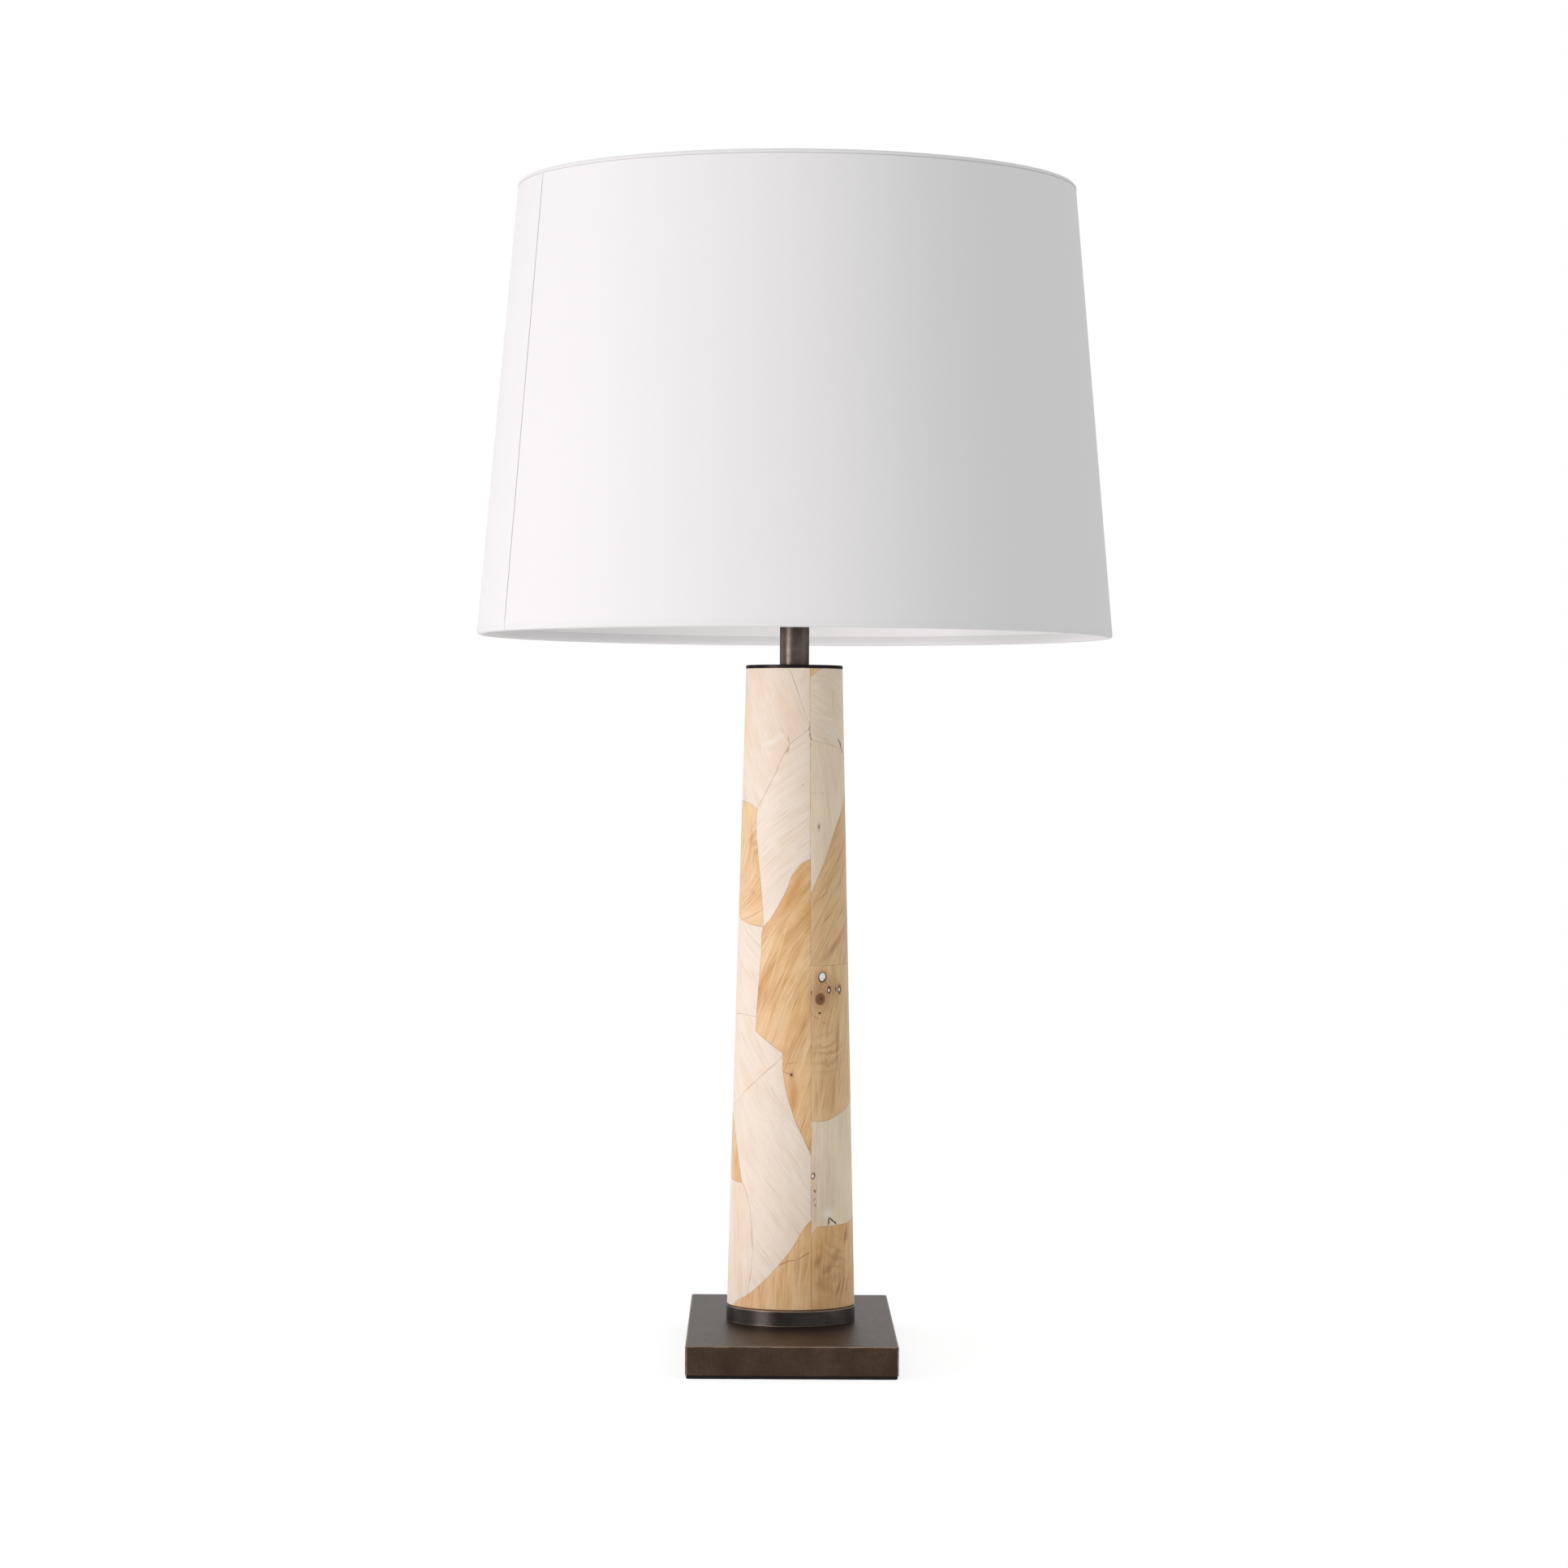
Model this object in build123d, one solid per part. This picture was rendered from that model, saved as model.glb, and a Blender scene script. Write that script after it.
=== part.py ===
from build123d import *
import math
import os

# Table lamp: a tapered wooden column dressed in irregular pieces of pale and honey veneer stands on an
# oblong bronze-finished base. A bronze neck carries a turn-knob lampholder and a harp, and the harp
# carries a round white shade under a screwed finial.
# Millimetres. +Z up, origin on the table under the middle of the base, -Y towards the viewer.

# Clearances
SLIP_GAP = 0.2
THREAD_GAP = 0.05
RUNNING_GAP = 0.06
SEAT_GAP = 0.3

# Base plate and felt
FELT_THICKNESS = 2.0
FELT_INSET = 0.5
BASE_WIDTH = 139.0
BASE_DEPTH = 281.0
BASE_THICKNESS = 19.5
BASE_CORNER_RADIUS = 2.0
BASE_EDGE_RADIUS = 0.9
NUT_POCKET_DIAMETER = 40.0
NUT_POCKET_SPARE_DEPTH = 1.7

# Cord way out of the back of the base
CORD_CHANNEL_WIDTH = 9.0
CORD_HOLE_HEIGHT = 7.5
CORD_WALL = 8.0
GROMMET_BORE = 7.2
GROMMET_WALL = 1.85
GROMMET_FLANGE_RIM = 1.75
GROMMET_FLANGE_THICKNESS = 1.8

# Threaded pipe and the nuts and washers on it
PIPE_DIAMETER = 10.0
PIPE_BORE = 7.0
PIPE_TAIL = 1.0
FLAT_WASHER_GAP = 4.0
FLAT_WASHER_THICKNESS = 2.0
LOCK_WASHER_WALL = 3.0
LOCK_WASHER_THICKNESS = 1.8
LOCK_WASHER_SPLIT = 1.5
BASE_NUT_WALL = 3.5
BASE_NUT_THICKNESS = 4.5
COLUMN_NUT_GAP = 0.4
COLUMN_NUT_THICKNESS = 4.5

# Collar, column and top cap
COLLAR_OVERHANG = 0.35
COLLAR_THICKNESS = 10.7
COLLAR_EDGE_RADIUS = 0.5
COLLAR_SPIGOT_DIAMETER = 60.0
COLLAR_SPIGOT_HEIGHT = 4.0
COLUMN_HEIGHT = 432.3
COLUMN_FOOT_DIAMETER = 86.8
COLUMN_HEAD_DIAMETER = 65.6
COLUMN_BORE_GAP = 3.0
VENEER_THICKNESS = 0.9
VENEER_FOOT_GAP = 0.9
CAP_OVERHANG = 0.2
CAP_THICKNESS = 2.3
CAP_EDGE_RADIUS = 0.4
CAP_SPIGOT_DIAMETER = 40.0
CAP_SPIGOT_HEIGHT = 3.0
RECESS_SPARE_DEPTH = 0.4

# Neck and harp
NECK_DIAMETER = 20.0
NECK_WALL = 1.5
NECK_LENGTH = 70.0
SADDLE_THICKNESS = 1.6
SADDLE_PAD_RIM = 2.0
SADDLE_ARM_WIDTH = 11.0
PRONG_SPACING = 56.0
PRONG_WIDTH = 4.4
PRONG_HEIGHT = 14.0
HARP_HEIGHT = 228.6
HARP_WIRE_DIAMETER = 3.6
HARP_FOOT_WALL = 0.9
HARP_FOOT_TOP = 4.0
HARP_LEG_HEIGHT = 46.0
HARP_BELLY_WIDTH = 114.0
HARP_BELLY_LOW = 96.0
HARP_SHOULDER_DROP = 64.0
HARP_SHOULDER_WIDTH = 44.0
HARP_BEND_RADIUS = 34.0
HARP_SHOULDER_RADIUS = 20.0
HUB_DIAMETER = 13.0
HUB_HEIGHT = 12.0
STUD_DIAMETER = 6.2
SLEEVE_WALL = 1.3
SLEEVE_HEIGHT = 12.0

# Shade
SHADE_HEIGHT = 305.6
SHADE_FOOT_DIAMETER = 431.8
SHADE_HEAD_DIAMETER = 378.4
FABRIC_THICKNESS = 0.5
LINER_THICKNESS = 0.5
RING_WIRE_DIAMETER = 3.0
HEM_THICKNESS = 0.5
HEM_OUTSIDE = 2.4
HEM_INSIDE = 7.0
SPIDER_DROP = 25.4
SPIDER_HUB_DIAMETER = 26.0
SPIDER_HUB_GAP = 0.4
SPIDER_HUB_THICKNESS = 2.0
SPIDER_WIRE_DIAMETER = 3.0
SPIDER_ARM_COUNT = 3
SPIDER_BEND_INSET = 34.0
SPIDER_BEND_RADIUS = 16.0
FINIAL_FOOT_RIM = 2.0
FINIAL_FOOT_HEIGHT = 3.0
FINIAL_NECK_WALL = 1.4
FINIAL_NECK_HEIGHT = 4.6
FINIAL_BALL_DIAMETER = 14.0
FINIAL_CROWN = 5.7

# Lampholder
HOLDER_CAP_RIM_GAP = 1.5
HOLDER_CAP_WALL = 1.1
HOLDER_HUB_WALL = 2.45
HOLDER_HUB_HEIGHT = 9.5
HOLDER_SHELL_WALL = 0.8
HOLDER_SHELL_RIM = 1.7
INSULATOR_WALL = 0.9
INSULATOR_SHORTER = 2.0
HOLDER_BODY_RIM = 0.3
HOLDER_BODY_HEIGHT = 19.0
TERMINAL_HEAD_DIAMETER = 5.0
TERMINAL_HEAD_DEPTH = 2.2
SWITCH_SHAFT_DIAMETER = 4.0
SWITCH_SHAFT_INNER_END = 2.0
SWITCH_KNOB_DIAMETER = 9.5
SWITCH_KNOB_LENGTH = 15.0
SWITCH_KNOB_STANDOFF = 2.5
SWITCH_HOLE_DIAMETER = 6.5
CONTACT_DIAMETER = 6.0
CONTACT_THICKNESS = 1.2

# Bulb with its screw cap
THREAD_PITCH = 3.6
THREAD_TURNS = 6
THREAD_DEPTH = 0.8
BULB_CAP_DIAMETER = 26.2
BULB_CAP_WALL = 0.5
SCREW_SHELL_GAP = 0.25
SCREW_SHELL_WALL = 0.45
BULB_TIP_DIAMETER = 9.0
BULB_TIP_HEIGHT = 1.6
BULB_INSULATOR_HEIGHT = 3.2
BULB_GLASS_WALL = 0.9
BULB_NECK_DIAMETER = 25.0
BULB_NECK_HEIGHT = 6.0
BULB_GLOBE_DIAMETER = 60.0
BULB_GLOBE_RISE = 52.0

# Veneer outlines. A point is (degrees round the column from the viewer's side, positive towards +X,
# share of the column's height). Outlines run past the edges of their stave. Earlier ones are laid first,
# later ones fill what they leave, and the rest of the stave is pale.
LEFT_STAVE = [
    ("pale", [(-8, 1.02), (22, 1.02), (22, 0.905)]),
    ("honey", [(-105, 0.795), (-60, 0.789), (-44, 0.780), (-46, 0.760), (-40, 0.690), (-34, 0.623),
               (-33, 0.596), (-38, 0.597), (-56, 0.601), (-105, 0.620)]),
    ("pale", [(-105, 1.02), (22, 1.02), (22, 0.918), (-7, 0.877), (-22, 0.833), (-44, 0.780),
              (-105, 0.780)]),
    ("honey", [(22, 0.704), (10, 0.697), (4, 0.688), (-2, 0.675), (-7, 0.655), (-14, 0.634), (-24, 0.610),
               (-33.5, 0.592), (-35, 0.550), (-37.5, 0.503), (-40, 0.434), (-9, 0.400), (-9.5, 0.378),
               (-7, 0.350), (-3, 0.324), (4, 0.292), (22, 0.230)]),
    ("pale", [(22, 0.930), (-50, 0.930), (-50, 0.700), (-33.3, 0.592), (22, 0.592)]),
    ("pale", [(-105, 0.640), (-30, 0.640), (-30, 0.456), (-40, 0.456), (-67, 0.459), (-105, 0.455)]),
    ("pale", [(-105, 0.460), (-9, 0.460), (-9.5, 0.400), (-27, 0.371), (-55, 0.336), (-105, 0.285)]),
    ("honey", [(-82, 0.302), (-69, 0.266), (-61.5, 0.232), (-54.5, 0.196), (-64, 0.196), (-105, 0.205),
               (-105, 0.298)]),
    ("honey", [(22, 0.147), (11, 0.127), (2, 0.101), (-9.5, 0.075), (-29, 0.040), (-44, 0.020),
               (-66, -0.02), (22, -0.02)]),
    ("pale", [(-105, 0.220), (-54.5, 0.196), (-45, 0.169), (-41, 0.143), (-38, 0.095), (-42, 0.030),
              (-50, -0.02), (-105, -0.02)]),
]
RIGHT_STAVE = [
    ("honey", [(15, 1.02), (36, 1.02), (18.5, 0.986), (15, 0.982)]),
    ("pale", [(15, 1.02), (142, 1.02), (142, 0.845), (75, 0.871), (15, 0.890)]),
    ("pale", [(15, 0.920), (120, 0.920), (90, 0.825), (70, 0.785), (51.5, 0.748), (39, 0.709),
              (27, 0.673), (15, 0.637)]),
    ("pale", [(108, 0.800), (142, 0.870), (142, 0.600), (125, 0.590), (112, 0.660)]),
    ("honey", [(15, 0.890), (142, 0.890), (142, 0.545), (60, 0.537), (15, 0.536)]),
    ("honey", [(15, 0.560), (142, 0.560), (142, 0.360), (83, 0.323), (71, 0.315), (52, 0.304),
               (35, 0.295), (15, 0.295)]),
    ("honey", [(112, 0.320), (142, 0.380), (142, 0.190), (126, 0.170), (114, 0.220)]),
    ("honey", [(15, 0.110), (18.5, 0.117), (24, 0.130), (58, 0.132), (72, 0.135), (84, 0.142),
               (105, 0.160), (142, 0.170), (142, -0.02), (15, -0.02)]),
]
BACK_STAVE = [
    ("honey", [(134, 1.02), (182, 1.02), (170, 0.960), (155, 0.915), (134, 0.895)]),
    ("pale", [(134, 1.02), (262, 1.02), (262, 0.800), (225, 0.815), (200, 0.800), (172, 0.765),
              (134, 0.790)]),
    ("honey", [(262, 0.830), (240, 0.800), (222, 0.740), (214, 0.660), (220, 0.585), (262, 0.560)]),
    ("honey", [(134, 0.630), (180, 0.600), (196, 0.560), (205, 0.470), (190, 0.400), (170, 0.375),
               (134, 0.390)]),
    ("pale", [(134, 0.830), (250, 0.830), (250, 0.620), (212, 0.590), (192, 0.560), (134, 0.560)]),
    ("honey", [(262, 0.370), (236, 0.345), (212, 0.300), (205, 0.220), (222, 0.170), (262, 0.160)]),
    ("pale", [(180, 0.620), (262, 0.620), (262, 0.340), (220, 0.340), (180, 0.410)]),
    ("honey", [(134, 0.100), (160, 0.120), (185, 0.090), (206, 0.045), (214, -0.02), (134, -0.02)]),
]
STAVES = [(-101.5, 18.5, LEFT_STAVE), (18.5, 138.5, RIGHT_STAVE), (138.5, 258.5, BACK_STAVE)]

# Heights of the main seats, from the table up
base_bottom = FELT_THICKNESS
base_top = base_bottom + BASE_THICKNESS
collar_top = base_top + COLLAR_THICKNESS
column_top = collar_top + COLUMN_HEIGHT
cap_top = column_top + CAP_THICKNESS
neck_top = cap_top + NECK_LENGTH
saddle_top = neck_top + SADDLE_THICKNESS
harp_shoulder = saddle_top + HARP_HEIGHT
shade_top = harp_shoulder + SPIDER_DROP
shade_bottom = shade_top - SHADE_HEIGHT
pipe_bottom = base_bottom + NUT_POCKET_SPARE_DEPTH
base_nut_bottom = pipe_bottom + PIPE_TAIL
lock_washer_bottom = base_nut_bottom + BASE_NUT_THICKNESS
flat_washer_bottom = lock_washer_bottom + LOCK_WASHER_THICKNESS
pocket_roof = flat_washer_bottom + FLAT_WASHER_THICKNESS
holder_floor = saddle_top + HOLDER_CAP_WALL
holder_hub_top = saddle_top + HOLDER_HUB_HEIGHT
holder_body_top = holder_hub_top + HOLDER_BODY_HEIGHT
switch_height = holder_hub_top + HOLDER_BODY_HEIGHT / 2
holder_cap_top = switch_height - SWITCH_HOLE_DIAMETER / 2 - HOLDER_CAP_RIM_GAP
pipe_top = holder_hub_top - PIPE_TAIL
bulb_bottom = holder_body_top + CONTACT_THICKNESS + SEAT_GAP
bulb_thread_bottom = bulb_bottom + BULB_TIP_HEIGHT + BULB_INSULATOR_HEIGHT
bulb_cap_top = bulb_thread_bottom + THREAD_TURNS * THREAD_PITCH
holder_top = bulb_cap_top + HOLDER_SHELL_RIM
finial_foot = harp_shoulder + SPIDER_HUB_THICKNESS

# Radii that several pieces share
pipe_radius = PIPE_DIAMETER / 2
pipe_hole = pipe_radius + SLIP_GAP
thread_hole = pipe_radius + THREAD_GAP
neck_bore = NECK_DIAMETER / 2 - NECK_WALL
cord_hole = GROMMET_BORE / 2 + GROMMET_WALL + THREAD_GAP
prong_socket = (SADDLE_THICKNESS + 2 * SLIP_GAP, PRONG_WIDTH + 2 * SLIP_GAP)
harp_foot_radius = math.hypot(*prong_socket) / 2 + HARP_FOOT_WALL
stud_radius = STUD_DIAMETER / 2
bulb_cap_radius = BULB_CAP_DIAMETER / 2
screw_shell_radius = bulb_cap_radius + SCREW_SHELL_GAP
holder_body_radius = screw_shell_radius + SCREW_SHELL_WALL + HOLDER_BODY_RIM
insulator_radius = holder_body_radius + SLIP_GAP / 2 + INSULATOR_WALL
holder_shell_radius = insulator_radius + SLIP_GAP / 2 + HOLDER_SHELL_WALL
holder_cap_radius = holder_shell_radius + SLIP_GAP / 2 + HOLDER_CAP_WALL
switch_shaft_radius = SWITCH_SHAFT_DIAMETER / 2
finial_neck_radius = stud_radius + RUNNING_GAP + FINIAL_NECK_WALL
finial_ball_radius = FINIAL_BALL_DIAMETER / 2
finial_ball_foot = finial_foot + FINIAL_FOOT_HEIGHT + FINIAL_NECK_HEIGHT
finial_ball_centre = finial_ball_foot + math.sqrt(finial_ball_radius ** 2 - finial_neck_radius ** 2)
finial_top = finial_ball_centre + finial_ball_radius
stud_top = finial_top - FINIAL_CROWN

# The shade's wall in its own section: along the slope from the foot, and out from the fabric's face
shade_foot_radius = SHADE_FOOT_DIAMETER / 2
shade_head_radius = SHADE_HEAD_DIAMETER / 2
shade_slope = math.hypot(shade_foot_radius - shade_head_radius, SHADE_HEIGHT)
shade_sine = (shade_foot_radius - shade_head_radius) / shade_slope
shade_cosine = SHADE_HEIGHT / shade_slope
sheet_thickness = FABRIC_THICKNESS + LINER_THICKNESS
ring_along = HEM_THICKNESS + RING_WIRE_DIAMETER / 2
ring_out = -sheet_thickness - RING_WIRE_DIAMETER / 2 - RUNNING_GAP


def turned(*outline):
    """Solid of revolution about Z from a closed outline of (radius, height) points."""
    return revolve(Plane.XZ * make_face(Polyline(*outline, close=True)), Axis.Z)


def ring(outer, inner, low, high):
    """Round ring about Z between two heights."""
    return turned((inner, low), (outer, low), (outer, high), (inner, high))


def round_rims(solid, radius):
    """Rounds both rims of a turned disc, which are its widest edges."""
    return fillet(solid.edges().filter_by(GeomType.CIRCLE).group_by(SortBy.RADIUS)[-1], radius)


def hex_nut(reach, low, thickness):
    """Hexagon nut on the threaded pipe, with its flats that far from the axis."""
    blank = RegularPolygon(reach, 6, major_radius=False) - Circle(thread_hole)
    return Pos(0, 0, low) * extrude(blank, thickness)


def shade_point(along, out):
    """(radius, height) of a point of the shade's section."""
    radius = shade_foot_radius - along * shade_sine + out * shade_cosine
    height = shade_bottom + along * shade_cosine + out * shade_sine
    return radius, height


def shade_sheet(outer, thickness):
    """Conical sheet of the shade, from hem to hem, with its outer face that far out."""
    low, high = HEM_THICKNESS, shade_slope - HEM_THICKNESS
    return turned(shade_point(low, outer), shade_point(high, outer),
                  shade_point(high, outer - thickness), shade_point(low, outer - thickness))


def make_felt():
    """Felt pad under the base plate."""
    pad = RectangleRounded(BASE_WIDTH - 2 * FELT_INSET, BASE_DEPTH - 2 * FELT_INSET, BASE_CORNER_RADIUS)
    return extrude(pad, FELT_THICKNESS)


def make_base():
    """Base plate with its nut pocket, cord channel and cord hole."""
    blank = extrude(RectangleRounded(BASE_WIDTH, BASE_DEPTH, BASE_CORNER_RADIUS), BASE_THICKNESS)
    ends = blank.faces().sort_by(Axis.Z)
    blank = fillet(ends[0].edges() + ends[-1].edges(), BASE_EDGE_RADIUS)
    channel_end = BASE_DEPTH / 2 - CORD_WALL
    channel = Box(CORD_CHANNEL_WIDTH, channel_end, CORD_HOLE_HEIGHT + cord_hole,
                  align=(Align.CENTER, Align.MIN, Align.MIN))
    back = Plane((0, BASE_DEPTH / 2, CORD_HOLE_HEIGHT), x_dir=(1, 0, 0), z_dir=(0, 1, 0))
    plate = blank - extrude(Circle(NUT_POCKET_DIAMETER / 2), pocket_roof - base_bottom)
    plate -= extrude(Circle(pipe_hole), BASE_THICKNESS)
    plate -= channel + back * extrude(Circle(cord_hole), -CORD_WALL)
    return Pos(0, 0, base_bottom) * plate


def make_grommet():
    """Bushing that lines the cord hole in the back of the base."""
    body = Circle(GROMMET_BORE / 2 + GROMMET_WALL) - Circle(GROMMET_BORE / 2)
    flange = Circle(cord_hole + GROMMET_FLANGE_RIM) - Circle(GROMMET_BORE / 2)
    bushing = extrude(body, -CORD_WALL) + extrude(flange, GROMMET_FLANGE_THICKNESS)
    back_face = Plane((0, BASE_DEPTH / 2, base_bottom + CORD_HOLE_HEIGHT), x_dir=(1, 0, 0), z_dir=(0, 1, 0))
    return back_face * bushing


def make_lock_washer():
    """Split spring washer under the base."""
    outer = pipe_hole + LOCK_WASHER_WALL
    washer = ring(outer, pipe_hole, lock_washer_bottom, flat_washer_bottom)
    split = Box(2 * outer, LOCK_WASHER_SPLIT, LOCK_WASHER_THICKNESS,
                align=(Align.MIN, Align.CENTER, Align.MIN))
    return washer - Pos(0, 0, lock_washer_bottom) * split


def make_collar():
    """Round collar under the column, with the spigot that centres it."""
    outer, spigot = COLUMN_FOOT_DIAMETER / 2 + COLLAR_OVERHANG, COLLAR_SPIGOT_DIAMETER / 2
    spigot_top = collar_top + COLLAR_SPIGOT_HEIGHT
    collar = turned((pipe_hole, base_top), (outer, base_top), (outer, collar_top), (spigot, collar_top),
                    (spigot, spigot_top), (pipe_hole, spigot_top))
    return round_rims(collar, COLLAR_EDGE_RADIUS)


def make_core():
    """Turned wooden core of the column, bored for the pipe and recessed for both spigots."""
    foot = COLUMN_FOOT_DIAMETER / 2 - VENEER_THICKNESS
    head = COLUMN_HEAD_DIAMETER / 2 - VENEER_THICKNESS
    bore = pipe_radius + COLUMN_BORE_GAP
    foot_recess = COLLAR_SPIGOT_DIAMETER / 2 + SLIP_GAP
    head_recess = CAP_SPIGOT_DIAMETER / 2 + SLIP_GAP
    foot_depth = collar_top + COLLAR_SPIGOT_HEIGHT + RECESS_SPARE_DEPTH
    head_depth = column_top - CAP_SPIGOT_HEIGHT - RECESS_SPARE_DEPTH
    return turned((foot_recess, collar_top), (foot, collar_top), (head, column_top),
                  (head_recess, column_top), (head_recess, head_depth), (bore, head_depth),
                  (bore, foot_depth), (foot_recess, foot_depth))


def column_radius(share):
    """Outer radius of the veneered column at a share of its height."""
    return (COLUMN_FOOT_DIAMETER + share * (COLUMN_HEAD_DIAMETER - COLUMN_FOOT_DIAMETER)) / 2


def lay_veneer():
    """Pieces of veneer by tone, cut from one conical skin along the outlines of each stave."""
    low, low_share = collar_top + VENEER_FOOT_GAP, VENEER_FOOT_GAP / COLUMN_HEIGHT
    section = make_face(Polyline((column_radius(low_share) - VENEER_THICKNESS, low),
                                 (column_radius(low_share), low), (column_radius(1), column_top),
                                 (column_radius(1) - VENEER_THICKNESS, column_top), close=True))
    pieces = {"pale": [], "honey": []}
    for start, end, outlines in STAVES:
        middle = (start + end) / 2
        left = Rot(0, 0, start - 90) * revolve(Plane.XZ * section, Axis.Z, revolution_arc=end - start)
        turn = math.radians(middle)
        facing = Plane((0, 0, 0), x_dir=(math.cos(turn), math.sin(turn), 0),
                       z_dir=(math.sin(turn), -math.cos(turn), 0))
        for tone, outline in outlines:
            points = [(column_radius(share) * math.sin(math.radians(angle - middle)),
                       collar_top + share * COLUMN_HEIGHT) for angle, share in outline]
            cutter = extrude(facing * make_face(Polyline(*points, close=True)), COLUMN_FOOT_DIAMETER)
            pieces[tone] += (left & cutter).solids()
            left = left - cutter
        pieces["pale"] += left.solids()
    return pieces


def make_cap():
    """Thin disc on the column's head, with the spigot that centres it."""
    outer, spigot = COLUMN_HEAD_DIAMETER / 2 + CAP_OVERHANG, CAP_SPIGOT_DIAMETER / 2
    spigot_bottom = column_top - CAP_SPIGOT_HEIGHT
    cap = turned((pipe_hole, spigot_bottom), (spigot, spigot_bottom), (spigot, column_top),
                 (outer, column_top), (outer, cap_top), (pipe_hole, cap_top))
    return round_rims(cap, CAP_EDGE_RADIUS)


def make_saddle():
    """Harp saddle: a pad on the pipe with two arms and an upright prong at the end of each."""
    arm_length = PRONG_SPACING + SADDLE_THICKNESS
    pad = Circle(NECK_DIAMETER / 2 + SADDLE_PAD_RIM)
    flat = pad + Rectangle(arm_length, SADDLE_ARM_WIDTH) - Circle(pipe_hole)
    saddle = Pos(0, 0, neck_top) * extrude(flat, SADDLE_THICKNESS)
    for side in (-1, 1):
        prong = extrude(Rectangle(SADDLE_THICKNESS, PRONG_WIDTH), PRONG_HEIGHT)
        saddle += Pos(side * PRONG_SPACING / 2, 0, saddle_top) * prong
    return saddle


def harp_path():
    """Line of the harp's wire, from foot to foot over the top."""
    leg, belly, shoulder = PRONG_SPACING / 2, HARP_BELLY_WIDTH / 2, HARP_SHOULDER_WIDTH / 2
    top = HARP_HEIGHT - HUB_HEIGHT / 2
    half = [(leg, PRONG_HEIGHT + HARP_FOOT_TOP), (leg, HARP_LEG_HEIGHT), (belly, HARP_BELLY_LOW),
            (belly, top - HARP_SHOULDER_DROP), (shoulder, top)]
    route = [(x, saddle_top + z) for x, z in half] + [(-x, saddle_top + z) for x, z in reversed(half)]
    radii = [HARP_BEND_RADIUS] * 3 + [HARP_SHOULDER_RADIUS] * 2 + [HARP_BEND_RADIUS] * 3
    return Plane.XZ * FilletPolyline(*route, radius=radii)


def make_harp(path):
    """Harp: the bent wire with a socketed foot at each end."""
    start = Plane(path @ 0, z_dir=path % 0)
    harp = sweep(start * Circle(HARP_WIRE_DIAMETER / 2), path=path)
    foot = extrude(Circle(harp_foot_radius), PRONG_HEIGHT + HARP_FOOT_TOP)
    foot -= extrude(Rectangle(*prong_socket), PRONG_HEIGHT + SLIP_GAP)
    for side in (-1, 1):
        harp += Pos(side * PRONG_SPACING / 2, 0, saddle_top) * foot
    return harp


def make_hub(path):
    """Hub on top of the harp, clamped on the wire, with the stud for the shade and finial."""
    outer, low = HUB_DIAMETER / 2, harp_shoulder - HUB_HEIGHT
    blank = turned((0, low), (outer, low), (outer, harp_shoulder), (stud_radius, harp_shoulder),
                   (stud_radius, stud_top), (0, stud_top))
    start = Plane(path @ 0, z_dir=path % 0)
    return blank - sweep(start * Circle(HARP_WIRE_DIAMETER / 2 + THREAD_GAP), path=path)


def make_sleeve(side):
    """Locking sleeve over one foot of the harp."""
    inner = harp_foot_radius + RUNNING_GAP
    low = saddle_top + SEAT_GAP
    return Pos(side * PRONG_SPACING / 2, 0, 0) * ring(inner + SLEEVE_WALL, inner, low, low + SLEEVE_HEIGHT)


def make_shade_ring(along):
    """Wire ring inside a hem of the shade."""
    radius, height = shade_point(along, ring_out)
    return Pos(0, 0, height) * Torus(radius, RING_WIRE_DIAMETER / 2)


def make_hem(end, inward, fillings):
    """Rolled hem round one edge of the shade, over the sheet and the wire ring."""
    back = -sheet_thickness - HEM_THICKNESS
    roll = ring_out - RING_WIRE_DIAMETER / 2 - HEM_THICKNESS
    roll_end = ring_along + RING_WIRE_DIAMETER / 2
    section = [(0, HEM_THICKNESS), (HEM_OUTSIDE, HEM_THICKNESS), (HEM_OUTSIDE, -FABRIC_THICKNESS),
               (HEM_INSIDE, -FABRIC_THICKNESS), (HEM_INSIDE, back), (roll_end, roll), (0, roll)]
    points = [shade_point(end + inward * along, out) for along, out in section]
    outline = make_face(Polyline(*points, close=True))
    corners = [outline.vertices().sort_by_distance((*point, 0))[0] for point in (points[0], points[-1])]
    hem = revolve(Plane.XZ * fillet(corners, HEM_THICKNESS), Axis.Z)
    for filling in fillings:
        hem = hem - filling
    return hem


def make_spider(top_ring):
    """Shade carrier: a centre washer with wire arms that bend up to the top ring."""
    level = harp_shoulder + SPIDER_HUB_THICKNESS / 2
    rim_radius, rim_height = shade_point(shade_slope - ring_along, ring_out)
    rim_radius -= RING_WIRE_DIAMETER / 2
    spider = ring(SPIDER_HUB_DIAMETER / 2, stud_radius + SPIDER_HUB_GAP, harp_shoulder, finial_foot)
    start = SPIDER_HUB_DIAMETER / 2 - SPIDER_WIRE_DIAMETER / 2
    path = Plane.XZ * FilletPolyline((start, level + SPIDER_WIRE_DIAMETER / 2),
                                     (rim_radius - SPIDER_BEND_INSET, level + SPIDER_WIRE_DIAMETER / 2),
                                     (rim_radius, rim_height), radius=SPIDER_BEND_RADIUS)
    arm = sweep(Plane(path @ 0, z_dir=path % 0) * Circle(SPIDER_WIRE_DIAMETER / 2), path=path)
    for count in range(SPIDER_ARM_COUNT):
        spider += Rot(0, 0, 90 + count * 360 / SPIDER_ARM_COUNT) * arm
    return spider - top_ring


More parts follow.
